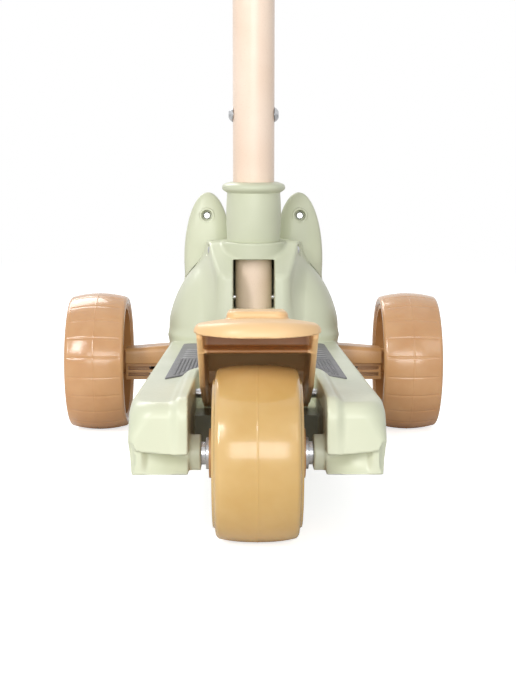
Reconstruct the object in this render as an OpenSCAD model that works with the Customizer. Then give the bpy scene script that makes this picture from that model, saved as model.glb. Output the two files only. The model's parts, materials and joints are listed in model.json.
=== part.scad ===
// Lean-to-steer kick scooter for a small child: two wheels at the front, one at the back.
// X points right, Y points the way it travels, Z points up. The ground is z = 0.

/* [Overall] */
// Distance between the front and rear axles
wheelbase = 420; // [400:5:450]
// Distance between the middles of the two front tyres
track_w = 270; // [262:2:300]

/* [Wheels] */
// Radius of the front tyres
front_r = 60; // [58:0.5:63]
// How much smaller the rear tyre's radius is
rear_less = 10; // [8:0.5:13]
// Width of every tyre
tyre_w = 50; // [46:1:52]
// Thickness of the front tread at its edge
tread_t = 5.7; // [4:0.1:8]
// Height of the tread's crown above its edges
crown_h = 4.5; // [2:0.25:6]
// Spokes on each side of a wheel's web
spoke_count = 8; // [5:1:12]

/* [Deck] */
// Width of the deck
deck_w = 140; // [134:1:148]
// Height of the deck's top above the front axle
deck_rise = 21; // [18:0.5:24]
// Depth of the deck's skirt
deck_h = 40; // [36:0.5:42]
// Wall thickness of the green mouldings
wall = 3; // [2.4:0.1:3.6]
// Deck behind the rear axle
tail_len = 22; // [19:0.5:25]
// Width of the wheel well
well_w = 76; // [73:0.5:80]
// Radius of the tail's outer corners, seen from above
tail_corner_r = 20; // [16:0.5:22]
// Height of the bead round the wheel well
bead_h = 3; // [1:0.5:4]
// Width of the bead round the wheel well
bead_w = 7; // [5:0.5:9]
// Thickness of the grip mat
mat_t = 1.8; // [1.4:0.1:2.4]
// Width of the grip mat
mat_w = 116; // [108:1:120]

/* [Front body] */
// Half of the front body's width
dome_half_w = 74; // [71:0.5:78]
// Height of the front body's top above the deck
dome_h = 86; // [82:0.5:88]
// Length of the front body behind the cover's seam
dome_back = 68; // [62:1:72]
// Length of the front cover ahead of the seam
dome_front = 50; // [46:1:54]
// Height of the side openings above the front axle
arch_rise = 38; // [36:0.5:41]
// Length of the side openings
arch_len = 60; // [58:1:66]
// Half of the width of a lobe
lobe_half_w = 21.2; // [18:0.2:23]
// Half of the height of a lobe
lobe_half_h = 58.5; // [54:0.5:62]
// Distance of a lobe's middle from the centre plane
lobe_x = 40; // [38:0.5:42]
// Wall thickness of the front cover and the lobes
cover_wall = 2.5; // [2:0.1:3]

/* [Neck and stem] */
// Angle that the stem leans back
lean_back = 4; // [2:0.25:6]
// Height of the neck's top above the deck
neck_rise = 85; // [82:0.5:88]
// Half of the neck's width at its rear face
neck_rear_half = 28; // [26:0.5:31]
// Half of the neck's width where it meets the front body
neck_side_half = 42; // [40:0.5:45]
// Distance of the stem's middle from the neck's rear face
neck_depth = 40; // [36:0.5:44]
// Width of the window in the neck
window_w = 34.6; // [33.5:0.1:38]
// Height of the window's sill above the deck
sill_rise = 28; // [27:0.5:31]
// Outer radius of the lower post
post_r = 15.6; // [14.6:0.1:15.9]
// Outer radius of the stem tube
stem_r = 17.5; // [17.1:0.1:18]
// Wall thickness of the steel tubes
tube_t = 1.8; // [1.2:0.1:1.8]
// Length of the stem tube
stem_len = 300; // [270:5:320]
// Radius of the round boss on top of the neck
boss_r = 27; // [25:0.5:29]
// Outer radius of the stem collar
collar_r = 23.3; // [22:0.1:24]
// Height of the stem collar
collar_h = 50; // [44:0.5:56]
// Outer radius of the collar's lip
lip_r = 26.8; // [25:0.1:28.5]
// Height of the stem's cross bolt above the neck
stem_bolt_u = 106; // [92:1:114]

/* [Steering] */
// Slope of the steering pivot
pivot_slope = 30; // [26:0.5:34]
// Radius of the steering pivot bolt
kingpin_r = 5; // [4:0.25:5.5]
// Height of the axle beam's upper part
beam_top_h = 16; // [14:0.5:17]
// Depth of the axle beam, front to back
beam_d = 34; // [31:0.5:36]
// Depth of the axle beam's ribbed lower part
beam_rib_d = 25; // [22:0.5:28]
// Distance of the centring springs from the middle
spring_x = 36; // [33:0.5:40]
// Middle radius of a centring spring's curls
spring_coil_r = 6.6; // [5.5:0.1:7.5]
// Thickness of the centring springs' wire
spring_wire = 2.4; // [1.6:0.1:2.8]
// Curls in one centring spring
spring_curls = 6; // [4:1:6]

/* [Brake] */
// Half of the brake pedal's width
pedal_half_w = 35.5; // [33:0.5:37]
// Height of the pedal's ridge above the deck
pedal_rise = 46; // [44.5:0.5:49]
// Wall thickness of the brake pedal
pedal_wall = 3.4; // [2.6:0.1:4]
// Distance from the rear tyre to the brake's shoe
brake_gap = 8; // [7:0.25:8.5]
// Height of the raised pad on the pedal
pad_h = 4; // [2:0.5:6]
// Radius of the brake's hinge pin
brake_pin_r = 3; // [2.5:0.1:3.5]
// Curls in the brake's return spring
brake_curls = 6; // [4:1:8]

/* [Handlebar] */
// Radius of the sliding inner tube
bar_post_r = 14; // [13:0.1:14.4]
// Height of the handlebar above the neck, along the stem
bar_u = 400; // [385:5:420]
// Radius of the handlebar tube
bar_r = 11; // [10:0.25:12]
// Overall width of the handlebar
bar_w = 290; // [270:2:310]
// Length of a grip
grip_len = 98; // [86:1:104]
// Radius of a grip
grip_r = 15.5; // [14.5:0.25:17]

/* [Hardware] */
// Radius of the wheel bolts
axle_r = 4; // [3.5:0.1:4.5]
// Outer radius of a wheel bearing
bearing_r = 11; // [10.5:0.1:12]
// Width of a wheel bearing
bearing_w = 7; // [6:0.25:8]
// Radial play of a turning fit
play = 0.05; // [0.02:0.01:0.09]
// Gap between pieces that pass close by
gap = 0.3; // [0.25:0.05:0.4]

/* [Hidden] */
$fn = 48;

green = "#cdd6b6";
caramel = "#c99a5f";
apricot = "#e9bd8a";
cream = "#f2d9c2";
steel = "#b9babc";
grey = "#77757c";

// Places that follow from the driving sizes
rear_r = front_r - rear_less;
deck_top = front_r + deck_rise;
arch_top = front_r + arch_rise;
neck_top = deck_top + neck_rise;
window_sill = deck_top + sill_rise;
pedal_top = deck_top + pedal_rise;
rear_y = -(wheelbase + front_r - rear_r) / 2;
front_y = rear_y + wheelbase;
tail_y = rear_y - tail_len;
deck_bottom = deck_top - deck_h;
seam_y = front_y + 1;
stem_y = seam_y - 34;
neck_y = stem_y - neck_depth;
well_half = well_w / 2;
well_end_y = rear_y + 155;
arch_y = front_y;

// Corner arc of a rounded polygon, for the corner b between a and c
function corner(a, b, c, r, steps) =
    let (u = (a - b) / norm(a - b), v = (c - b) / norm(c - b))
    let (half = acos(max(-1, min(1, u * v))) / 2, mid = (u + v) / norm(u + v))
    let (centre = b + mid * r / sin(half), from = b + u * r / tan(half) - centre)
    let (to = b + v * r / tan(half) - centre, start = atan2(from[1], from[0]))
    let (raw = atan2(to[1], to[0]) - start, turn = raw > 180 ? raw - 360 : raw < -180 ? raw + 360 : raw)
    [for (i = [0:steps]) centre + r * [cos(start + turn * i / steps), sin(start + turn * i / steps)]];

// Polygon with one radius for each corner; a radius of 0 keeps the corner sharp
function rounded(points, radii, steps = 5) =
    let (n = len(points))
    [for (i = [0:n - 1]) each (radii[i] == 0 ? [points[i]]
        : corner(points[(i + n - 1) % n], points[i], points[(i + 1) % n], radii[i], steps))];

function arc(centre, r, from, to, steps) =
    [for (i = [0:steps]) centre + r * [cos(from + (to - from) * i / steps), sin(from + (to - from) * i / steps)]];

// Closed solid through rings of equal length, each seen counter-clockwise from its end
module loft(rings) {
    n = len(rings[0]);
    last = (len(rings) - 1) * n;
    sides = [for (j = [0:len(rings) - 2]) for (i = [0:n - 1])
        let (a = j * n + i, b = j * n + (i + 1) % n) each [[a, a + n, b + n], [a, b + n, b]]];
    start = [[for (i = [0:n - 1]) i]];
    end = [[for (i = [n - 1:-1:0]) last + i]];
    polyhedron([for (ring = rings) each ring], concat(start, sides, end), convexity = 8);
}

// Round wire along a path, one ring at each point, square to the path
module wire(path, r, sides = 6) {
    n = len(path);
    rings = [for (i = [0:n - 1])
        let (ahead = path[min(i + 1, n - 1)] - path[max(i - 1, 0)], t = ahead / norm(ahead))
        let (pick = abs(t[0]) < 0.9 ? [1, 0, 0] : [0, 0, 1], across = cross(t, pick))
        let (u = across / norm(across), v = cross(t, u))
        [for (k = [0:sides - 1]) path[i] + r * (cos(360 * k / sides) * u + sin(360 * k / sides) * v)]];
    loft(rings);
}

// Height above the ground of a place on the stem, and the frames of the stem and the pivot
module on_stem() translate([0, stem_y, neck_top]) rotate([lean_back, 0, 0]) children();
module on_pivot() translate([0, front_y, front_r]) rotate([pivot_slope, 0, 0]) children();
module along_x() rotate([0, 90, 0]) children();
module along_y() rotate([-90, 0, 0]) children();
module side_profile(width) rotate([90, 0, 90]) linear_extrude(width, center = true) children();
module front_profile(from_y, to_y) translate([0, to_y, 0]) rotate([90, 0, 0]) linear_extrude(to_y - from_y) children();

// A rod across the part, from one x to another
module rod(from_x, to_x, r) translate([from_x, 0, 0]) along_x() cylinder(h = to_x - from_x, r = r);
module tube(h, outer, inner) difference() {
    cylinder(h = h, r = outer);
    translate([0, 0, -1]) cylinder(h = h + 2, r = inner);
}
module hexagon(h, across) cylinder(h = h, r = across / sqrt(3), $fn = 6);

// Round bolt head with a hexagonal socket, standing on z = 0
module button_head(r, h) difference() {
    rotate_extrude() intersection() {
        translate([0, h - (r * r + h * h) / (2 * h)]) circle((r * r + h * h) / (2 * h));
        square([r, h]);
    }
    translate([0, 0, h * 0.45]) hexagon(h, r * 0.75);
}

// Front body, as half rounded sections behind the seam
function dome_share(z) = z < deck_top ? 1 : sqrt(max(0, 1 - pow((z - deck_top) / dome_h, 2)));
function dome_half(z) = dome_half_w * dome_share(z);
foot_r = 16;
function foot_flare(z) = z > deck_top + foot_r ? 0
    : foot_r * (1 - sqrt(max(0, 1 - pow((deck_top + foot_r - max(z, deck_top)) / foot_r, 2))));
function dome_ring(z, inset = 0) =
    let (a = dome_half(z) - inset, b = dome_back * dome_share(z) - inset + 0.7 * foot_flare(z))
    [for (i = [24:-1:0]) let (t = 180 * i / 24)
        [a * sign(cos(t)) * pow(abs(cos(t)), 0.667), seam_y - b * pow(abs(sin(t)), 0.667)]];
function raise(ring, z) = [for (p = ring) [p[0], p[1], z]];
dome_levels = [for (i = [0:12]) deck_top + dome_h * sin(1.5 + 82.5 * i / 12)];
module dome_back_form(inset = 0, drop = 0) {
    levels = concat([deck_bottom + 2 - drop, deck_top - 15], dome_levels);
    loft([for (z = levels) let (low = z - inset * max(0, z - deck_top) / dome_h)
        raise(dome_ring(low, inset), low)]);
}

// Neck, as sections that narrow to the rear and flare into the deck
function neck_ring(z, inset = 0) =
    let (e = foot_flare(z) - inset, draft = 0.03 * (neck_top - z))
    let (side = neck_side_half + draft + e, rear = neck_rear_half + draft + 0.8 * e)
    let (front = seam_y - 6)
    rounded([[-side, front], [-side, stem_y + 4], [-rear, neck_y - e], [rear, neck_y - e],
        [side, stem_y + 4], [side, front]], [2, 8, 5, 5, 8, 2], 3);
module neck_form() difference() {
    loft([for (z = [-6, 1, 3, 6, 10, foot_r, neck_top - deck_top]) raise(neck_ring(deck_top + z), deck_top + z)]);
    // Sloping shoulder above the window
    side_profile(2 * neck_side_half + 20) polygon([[stem_y, neck_top], [stem_y, neck_top + 9],
        [neck_y - 20, neck_top + 9], [neck_y - 20, neck_top - 42], [neck_y, neck_top - 28]]);
}

// Deck, as the overlap of its three outlines
module deck_section(inset) {
    half = deck_w / 2 - inset;
    polygon(rounded([[-half, deck_bottom - 10], [half, deck_bottom - 10], [half, deck_top - inset],
        [-half, deck_top - inset]], [0, 0, max(6 - inset, 1), max(6 - inset, 1)]));
}
module deck_plan(inset) {
    half = deck_w / 2 - inset;
    r = tail_corner_r - inset;
    polygon(rounded([[-half, tail_y + inset], [half, tail_y + inset], [half, seam_y - 30],
        [-half, seam_y - 30]], [r, r, 0, 0], 8));
}
module deck_side(inset) polygon(rounded([[tail_y + inset, deck_bottom], [seam_y, deck_bottom],
    [seam_y, deck_top - inset], [tail_y + inset, deck_top - inset]], [0, 0, 0, 9], 6));
module deck_form(inset = 0, drop = 0) intersection() {
    front_profile(tail_y - 1, seam_y) deck_section(inset);
    translate([0, 0, deck_bottom - drop]) linear_extrude(deck_h + drop) deck_plan(inset);
    if (inset == 0) side_profile(deck_w + 2) deck_side(0);
}
module well_plan(grow) {
    half = well_half + grow;
    polygon(concat([[-half, tail_y - 20], [half, tail_y - 20]],
        arc([0, well_end_y - well_half], half, 0, 180, 16)));
}
module well_bead() intersection() {
    translate([0, 0, deck_top - 1]) linear_extrude(bead_h + 1) difference() {
        well_plan(bead_w);
        well_plan(0);
    }
    side_profile(deck_w) polygon(rounded([[tail_y, deck_bottom], [seam_y, deck_bottom],
        [seam_y, deck_top + bead_h], [tail_y, deck_top + bead_h]], [0, 0, 0, 10], 6));
}

// Openings in the sides of the front body for the axle beam
module arch_cut() side_profile(200) polygon(rounded([[arch_y - arch_len / 2, 20],
    [arch_y + arch_len / 2, 20], [arch_y + arch_len / 2, arch_top], [arch_y - arch_len / 2, arch_top]],
    [0, 0, 18, 18], 6));

// Neck window, its side walls and the socket for the post
shelf_t = 4;
shelf_z = window_sill - shelf_t;
socket_floor_u = shelf_z - neck_top - 7;
boss_h = 15;
window_top = neck_top - boss_h;
cheek_front = stem_y + 20;
window_half = window_w / 2;
axle_boss_x = tyre_w / 2 + 6.5;
axle_pocket_x = deck_w / 2 - 6;
hinge_y = rear_y + 95;
hinge_z = deck_top - 9;
hinge_floor = hinge_z - 9;
hinge_floor_y = rear_y + rear_r + 9;

// Bracket that carries the pivot bolt, in the pivot's own frame
leg_gap = 24.5;
bracket_t = 4;
bracket_half_w = 22;
bracket_top = 30;
leg_outer = leg_gap + bracket_t;
bracket_screw = [15, 21];

module window_cheeks() for (side = [-1, 1])
    translate([side * (window_half + wall / 2), (neck_y + wall + cheek_front) / 2, (shelf_z + neck_top - 8) / 2])
        cube([wall, cheek_front - neck_y - wall, neck_top - 8 - shelf_z], center = true);

// Walls of the wheel well and the floor of its shallow end
module well_walls() intersection() {
    translate([0, 0, deck_bottom - 2]) linear_extrude(deck_h + 8) well_plan(wall);
    union() {
        translate([-60, tail_y - 30, 0]) cube([120, hinge_floor_y + wall - tail_y + 30, 200]);
        translate([-60, tail_y - 30, hinge_floor - wall]) cube([120, 400, 200]);
    }
}

module deck_ribs() intersection() {
    translate([0, 0, deck_bottom]) union() {
        linear_extrude(deck_h - wall / 2) difference() {
            deck_plan(wall / 2);
            well_plan(wall / 2);
        }
        // Under the well's shallow end
        linear_extrude(hinge_floor - wall / 2 - deck_bottom)
            translate([-well_half - 1, hinge_floor_y + wall / 2]) square([well_w + 2, neck_y - hinge_floor_y]);
    }
    union() {
        for (x = [-46, -23, 0, 23, 46])
            translate([x - 1, hinge_floor_y, deck_bottom + 3]) cube([2, neck_y - hinge_floor_y, deck_h]);
        for (i = [0:5]) let (y = well_end_y + 6 + i * (neck_y - well_end_y - 6) / 5)
            translate([-deck_w / 2, y - 1, deck_bottom + 3]) cube([deck_w, 2, deck_h]);
        for (y = [rear_y + 25, rear_y + 60, rear_y + 95])
            translate([-deck_w / 2, y - 1, deck_bottom + 3]) cube([deck_w, 2, deck_h]);
    }
}

module shelf_plan(inset) {
    polygon(dome_ring(shelf_z + shelf_t / 2, inset));
    polygon(neck_ring(shelf_z + shelf_t / 2, inset));
}
tongue_half = 52;
tongue_front = seam_y + 12;
cover_screw_x = 45;
tab_from = cover_screw_x - 11;
tab_to = dome_half_w - 7;
cover_screw_y = seam_y + 6;

// Boss of the rear axle: a plate inside the well on a thicker core in the arm
module axle_boss(well_only) intersection() {
    translate([0, rear_y, rear_r]) union() {
        rod(axle_boss_x, axle_pocket_x, 10.5);
        if (well_only == 0) rod(well_half, axle_pocket_x + 2, 14);
    }
    translate([0, rear_y - 20, deck_bottom]) cube([80, 40, deck_h - 1]);
}

module deck_shell() color(green) difference() {
    union() {
        difference() {
            union() {
                deck_form();
                dome_back_form();
                neck_form();
                well_bead();
            }
            // Hollow inside
            difference() {
                deck_form(wall, 1);
                well_walls();
            }
            dome_back_form(wall, 5);
            translate([0, 0, deck_top - wall - 1]) linear_extrude(shelf_z - deck_top + wall + 1)
                polygon(neck_ring(shelf_z, wall));
            translate([0, 0, shelf_z]) linear_extrude(neck_top - 31 - shelf_z)
                polygon(neck_ring(neck_top, wall));
        }
        deck_ribs();
        window_cheeks();
        translate([0, 0, shelf_z]) linear_extrude(shelf_t) shelf_plan(wall / 2);
        // Tongue that carries the front cover and the springs' upper ends
        translate([-tongue_half, seam_y - 2, shelf_z]) cube([2 * tongue_half, tongue_front - seam_y + 2, shelf_t]);
        // Neck ring and the post's socket
        on_stem() translate([0, 0, -boss_h]) cylinder(h = boss_h, r = boss_r);
        on_stem() translate([0, 0, socket_floor_u]) cylinder(h = 9, r = post_r + 4);
        // Bosses for the bracket's screws
        intersection() {
            on_pivot() for (x = [-1, 1], y = [-1, 1])
                translate([x * bracket_screw[0], y * bracket_screw[1], bracket_top + bracket_t])
                    cylinder(h = 45, r = 5);
            translate([-40, stem_y - 60, 0]) cube([80, 120, shelf_z + 1]);
        }
        // Bosses round the rear axle and the brake's hinge
        for (side = [0, 1]) mirror([side, 0, 0]) {
            axle_boss(0);
            translate([0, hinge_y, hinge_z]) rod(well_half, well_half + 10, 7);
        }
    }
    // Wheel well, open behind and below, shallow ahead of the wheel
    intersection() {
        translate([0, 0, deck_bottom - 5]) linear_extrude(deck_h + 20) well_plan(0);
        union() {
            translate([-well_half, tail_y - 5, deck_bottom - 5])
                cube([well_w, hinge_floor_y - tail_y + 5, deck_h + 20]);
            translate([-well_half, hinge_floor_y - 1, hinge_floor]) cube([well_w, 200, 60]);
        }
        difference() {
            translate([-60, tail_y - 30, 0]) cube([120, 400, 200]);
            for (side = [0, 1]) mirror([side, 0, 0]) axle_boss(1);
        }
    }
    // Scoop under the tail's lip
    intersection() {
        translate([0, tail_y - 6, deck_bottom + 7]) rod(-deck_w / 2 + 4, deck_w / 2 - 4, 12);
        translate([-deck_w / 2, tail_y - 10, deck_bottom - 1]) cube([deck_w, 30, 14]);
    }
    // Axle hole and its pockets
    translate([0, rear_y, rear_r]) {
        rod(-deck_w / 2, deck_w / 2, axle_r + play);
        rod(axle_pocket_x, deck_w / 2 + 2, 9.5);
        rod(-deck_w / 2 - 2, -axle_pocket_x, 9.5);
    }
    translate([0, hinge_y, hinge_z]) rod(-well_half - 8, well_half + 8, brake_pin_r);
    // Recess for the grip mat
    translate([0, 0, deck_top - mat_t / 2]) linear_extrude(mat_t) mat_plan(0.4);
    arch_cut();
    translate([-100, seam_y, 0]) cube([200, 60, shelf_z - 0.01]);
    // Window
    translate([-window_half, neck_y - 30, window_sill])
        cube([window_w, cheek_front - neck_y + 40, window_top - window_sill - 1]);
    // Bores on the stem's axis
    on_stem() {
        translate([0, 0, socket_floor_u + 3]) cylinder(h = 120, r = post_r + play);
        translate([0, 0, -boss_h]) cylinder(h = boss_h + 10, r = spigot_r + play);
    }
    on_neck_bolt() {
        rod(-neck_side_half - 5, neck_side_half + 5, neck_bolt_r);
        for (side = [-1, 1]) mirror([side < 0 ? 1 : 0, 0, 0]) rod(neck_side_half - 5, neck_side_half + 9, 4.6);
    }
    on_post_bolt() rod(-window_half - 8, window_half + 8, neck_bolt_r);
    on_pivot() for (x = [-1, 1], y = [-1, 1])
        translate([x * bracket_screw[0], y * bracket_screw[1], bracket_top]) cylinder(h = 16, r = 2);
    for (x = [-1, 1]) translate([x * cover_screw_x, cover_screw_y, shelf_z - 1]) cylinder(h = 8, r = 2.2);
}

// Grip mat, cut away round the bead
module mat_plan(grow) {
    half = mat_w / 2 + grow;
    difference() {
        polygon(rounded([[-half, well_end_y - 64 - grow], [half, well_end_y - 64 - grow], [half, neck_y + 1 + grow],
            [-half, neck_y + 1 + grow]], [3, 3, 9, 9]));
        well_plan(bead_w + 3 - grow);
        polygon(neck_ring(deck_top, grow - 1));
        for (side = [-1, 1]) polygon([[side * (half - 13), well_end_y - 38 - grow],
            [side * (half + 2), well_end_y - 67 - grow], [side * (half + 2), well_end_y - 90],
            [side * 20, well_end_y - 90], [side * 20, well_end_y - 38 - grow]]);
    }
}
module grip_mat() color(grey) translate([0, 0, deck_top - mat_t / 2]) linear_extrude(mat_t) mat_plan(0);

// Front cover: the front half of the body with two plain lobes
cover_middle = deck_top + 8;
cover_bottom = deck_bottom + 3;
function cover_outline(inset = 0) =
    let (top = [for (i = [0:20]) let (t = 84 - 84 * i / 20, z = deck_top + dome_h * sin(t)) [dome_half(z), z]])
    let (side = [for (i = [1:5]) let (z = deck_top - (deck_top - cover_bottom - 10) * i / 5) [dome_half(z), z]])
    let (half = concat(top, side, [[dome_half(cover_bottom) - 4, cover_bottom + 3],
        [dome_half(cover_bottom) - 12, cover_bottom]]))
    let (whole = concat(half, [for (i = [len(half) - 1:-1:0]) [-half[i][0], half[i][1]]]))
    [for (p = whole) let (shrink = 1 - inset / norm(p - [0, cover_middle])) [0, cover_middle]
        + (p - [0, cover_middle]) * shrink];
module cover_form(inset = 0, back = 0) {
    outline = cover_outline(inset);
    reach = dome_front - inset;
    steps = 9;
    loft([for (i = [0:steps + 1]) let (t = i == 0 ? 0 : 80 * (i - 1) / steps)
        let (y = i == 0 ? seam_y - back : seam_y + reach * sin(t), k = pow(cos(t), 0.8))
        [for (p = outline) [p[0] * k, y, cover_middle + (p[1] - cover_middle) * k]]]);
}
lobe_z = deck_top + 69;
lobe_seam_y = seam_y + 10;
lobe_front_t = 15;
lobe_back_t = 9.5;
function lobe_ring(y, inset) =
    let (side_t = (y > lobe_seam_y ? lobe_front_t : lobe_back_t) - inset)
    let (s = min(1, abs(y - lobe_seam_y) / side_t), k = pow(max(0, 1 - pow(s, 2.4)), 1 / 2.4))
    [for (i = [27:-1:0]) let (t = 360 * i / 28)
        [(lobe_half_w - inset) * k * cos(t), y, lobe_z + (lobe_half_h - inset) * k * sin(t)]];
module lobe_form(from_y, to_y, inset = 0) loft([for (i = [0:5])
    let (t = from_y < to_y - 0.01 ? i / 5 : 0, bend = from_y < lobe_seam_y - 0.1 ? 1 - cos(90 * t) : sin(90 * t))
    lobe_ring(from_y + (to_y - from_y) * bend, inset)]);
module lobe_back_form(inset = 0) lobe_form(lobe_seam_y - (lobe_back_t - inset) * 0.995, lobe_seam_y, inset);
module lobe_front_form(inset = 0) lobe_form(lobe_seam_y, lobe_seam_y + (lobe_front_t - inset) * 0.995, inset);
lobe_screw_x = lobe_x + 0.9;
lobe_screw_z = lobe_z + 38;

module front_cover() color(green) difference() {
    union() {
        difference() {
            union() {
                cover_form();
                for (side = [-1, 1]) translate([side * lobe_x, 0, 0]) lobe_front_form();
            }
            cover_form(cover_wall, 1);
            for (side = [-1, 1]) translate([side * lobe_x, -0.01, 0]) lobe_front_form(cover_wall);
        }
        for (side = [-1, 1]) {
            // Screw posts in the lobes and tabs over the deck's tongue
            translate([side * lobe_screw_x, lobe_seam_y, lobe_screw_z]) along_y() cylinder(h = 12, r = 4.5);
            translate([side > 0 ? tab_from : -tab_to, seam_y, window_sill]) cube([tab_to - tab_from, 13, 3]);
        }
    }
    arch_cut();
    for (side = [-1, 1]) {
        translate([side * lobe_screw_x, lobe_seam_y - 1, lobe_screw_z]) along_y() cylinder(h = 11, r = 1.6);
        translate([side * cover_screw_x, cover_screw_y, window_sill - 1]) cylinder(h = 6, r = 1.6);
    }
    // The lobes' bays, so that their backs can be set in
    for (side = [-1, 1]) translate([side * lobe_x, 0, 0]) intersection() {
        lobe_back_form(-gap);
        outside_dome(0);
    }
}
module outside_dome(clear) difference() {
    translate([-90, seam_y - 10, deck_top]) cube([180, 60, 200]);
    front_profile(seam_y - 11, seam_y + 51) polygon(cover_outline(-clear));
}
module lobe_back(side) color(green) difference() {
    intersection() {
        translate([side * lobe_x, 0, 0]) difference() {
            lobe_back_form();
            translate([0, 0.01, 0]) lobe_back_form(cover_wall);
        }
        outside_dome(gap);
    }
    translate([side * lobe_screw_x, seam_y - 5, lobe_screw_z]) along_y() cylinder(h = 20, r = 4.6);
}
module lobe_screw_seat(side) color(green) difference() {
    translate([side * lobe_screw_x, lobe_seam_y - 6, lobe_screw_z]) along_y() cylinder(h = 6, r = 6);
    translate([side * lobe_screw_x, lobe_seam_y - 7, lobe_screw_z]) along_y() cylinder(h = 5, r = 4.6);
    translate([side * lobe_screw_x, lobe_seam_y - 7, lobe_screw_z]) along_y() cylinder(h = 9, r = 2.1);
}
module lobe_back_left() {
    lobe_back(-1);
    lobe_screw_seat(-1);
}
module lobe_back_right() {
    lobe_back(1);
    lobe_screw_seat(1);
}
module screw(length, head_r, r) {
    cylinder(h = length, r = r);
    difference() {
        translate([0, 0, -2.4]) cylinder(h = 2.4, r1 = head_r * 0.7, r2 = head_r, $fn = 32);
        for (a = [0, 90]) rotate(a) translate([-head_r * 0.6, -0.5, -3]) cube([head_r * 1.2, 1, 1.8]);
    }
}
module cover_screws() color(steel) for (side = [-1, 1]) {
    translate([side * lobe_screw_x, lobe_seam_y - 2, lobe_screw_z]) along_y() screw(11, 3.6, 1.55);
    translate([side * cover_screw_x, cover_screw_y, shelf_z]) screw(8, 3.6, 1.55);
}

// Steering pivot
module pivot_bracket() color(steel) on_pivot() difference() {
    union() {
        translate([-bracket_half_w, -leg_outer, bracket_top]) cube([2 * bracket_half_w, 2 * leg_outer, bracket_t]);
        for (y = [-leg_outer, leg_gap]) translate([0, y, 0]) {
            along_y() cylinder(h = bracket_t, r = 14);
            translate([-14, 0, 0]) cube([28, bracket_t, bracket_top + 1]);
        }
    }
    translate([0, -leg_outer - 1, 0]) along_y() cylinder(h = 2 * leg_outer + 2, r = kingpin_r + play);
    for (x = [-1, 1], y = [-1, 1]) translate([x * bracket_screw[0], y * bracket_screw[1], bracket_top - 1])
        cylinder(h = bracket_t + 2, r = 2.2);
}
module bracket_screws() color(steel) on_pivot() for (x = [-1, 1], y = [-1, 1])
    translate([x * bracket_screw[0], y * bracket_screw[1], bracket_top]) screw(14, 3.6, 1.95);
module kingpin() color(steel) on_pivot() {
    translate([0, -leg_outer - 10, 0]) along_y() cylinder(h = 2 * leg_outer + 10, r = kingpin_r);
    translate([0, leg_outer, 0]) along_y() difference() {
        cylinder(h = 6.5, r = 8);
        translate([0, 0, 3]) hexagon(5, 6);
    }
}
module kingpin_nut() color(steel) on_pivot() translate([0, -leg_outer, 0]) rotate([90, 0, 0]) difference() {
    union() {
        cylinder(h = 1.6, r = 9.5);
        translate([0, 0, 1.6]) hexagon(7.5, 15);
    }
    translate([0, 0, -1]) cylinder(h = 12, r = kingpin_r);
}
bush_r = kingpin_r + 2.5;
beam_hub_half = 22;
flange_t = leg_gap - beam_hub_half - gap;
module pivot_bushes() color(grey) on_pivot() for (side = [-1, 1]) rotate([side < 0 ? 90 : -90, 0, 0]) difference() {
    union() {
        translate([0, 0, 1]) cylinder(h = beam_hub_half, r = bush_r);
        translate([0, 0, beam_hub_half]) cylinder(h = flange_t, r = bush_r + 3);
    }
    cylinder(h = 60, r = kingpin_r + play);
}

// Axle beam: a closed upper bar over set-back ribs, with a slanted hub for the pivot
beam_end_x = track_w / 2 - 17.5;
beam_top = front_r + beam_top_h - 1;
beam_low = front_r - 15;
nut_x = beam_end_x - 30;
beam_arch_r = 1174;
beam_middle_top = beam_top + 2.7;
function beam_level(x) = beam_middle_top - beam_arch_r + sqrt(beam_arch_r * beam_arch_r - x * x);
module beam_bar(half) {
    loft([for (i = [-4:4]) let (x = half * i / 4, top = beam_level(x))
        [for (p = rounded([[-beam_d / 2, front_r - 1], [beam_d / 2, front_r - 1], [beam_d / 2, top],
            [-beam_d / 2, top]], [1, 1, 4, 4])) [x, front_y + p[0], p[1]]]]);
    translate([-half, front_y - beam_rib_d / 2, beam_low]) cube([2 * half, beam_rib_d, front_r - beam_low]);
}
module beam_grooves() for (side = [0, 1]) mirror([side, 0, 0]) for (z = [beam_low + 3, beam_low + 8.5], y = [-1, 1])
    translate([18, front_y + y * beam_rib_d / 2 - (y > 0 ? 6 : 0), z]) cube([beam_end_x - 26, 6, 3]);
module axle_beam() color(caramel) difference() {
    union() {
        beam_bar(beam_end_x - 6);
        translate([0, front_y, front_r]) {
            rod(-beam_end_x, beam_end_x, 11);
        }
        on_pivot() translate([0, -beam_hub_half, 0]) along_y() cylinder(h = 2 * beam_hub_half, r = 13.5);
        // Cups for the centring springs
        for (side = [-1, 1]) translate([side * spring_x, front_y, beam_top]) cylinder(h = 4.6, r = 11);
    }
    beam_grooves();
    for (side = [-1, 1]) translate([side * spring_x, front_y, spring_low]) cylinder(h = 10, r = spring_coil_r + 2.2);
    on_pivot() {
        translate([0, -40, 0]) along_y() cylinder(h = 80, r = bush_r);
        for (side = [-1, 1]) translate([-25, side > 0 ? beam_hub_half : -beam_hub_half - 30, -30]) cube([50, 30, 70]);
    }
    translate([0, front_y, front_r]) {
        rod(nut_x - 15, beam_end_x + 1, axle_r);
        rod(-beam_end_x - 1, -nut_x + 15, axle_r);
    }
    for (side = [-1, 1]) translate([side * nut_x - 4, front_y - 7, beam_low - 1]) cube([8, 14, front_r - beam_low + 9]);
}
module front_axles() color(steel) for (side = [0, 1]) mirror([side, 0, 0]) translate([0, front_y, front_r]) {
    rod(nut_x - 8, front_head_x, axle_r);
    translate([front_head_x, 0, 0]) along_x() difference() {
        cylinder(h = 4.5, r = 6.5);
        translate([0, 0, 2]) hexagon(5, 5);
    }
}
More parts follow.
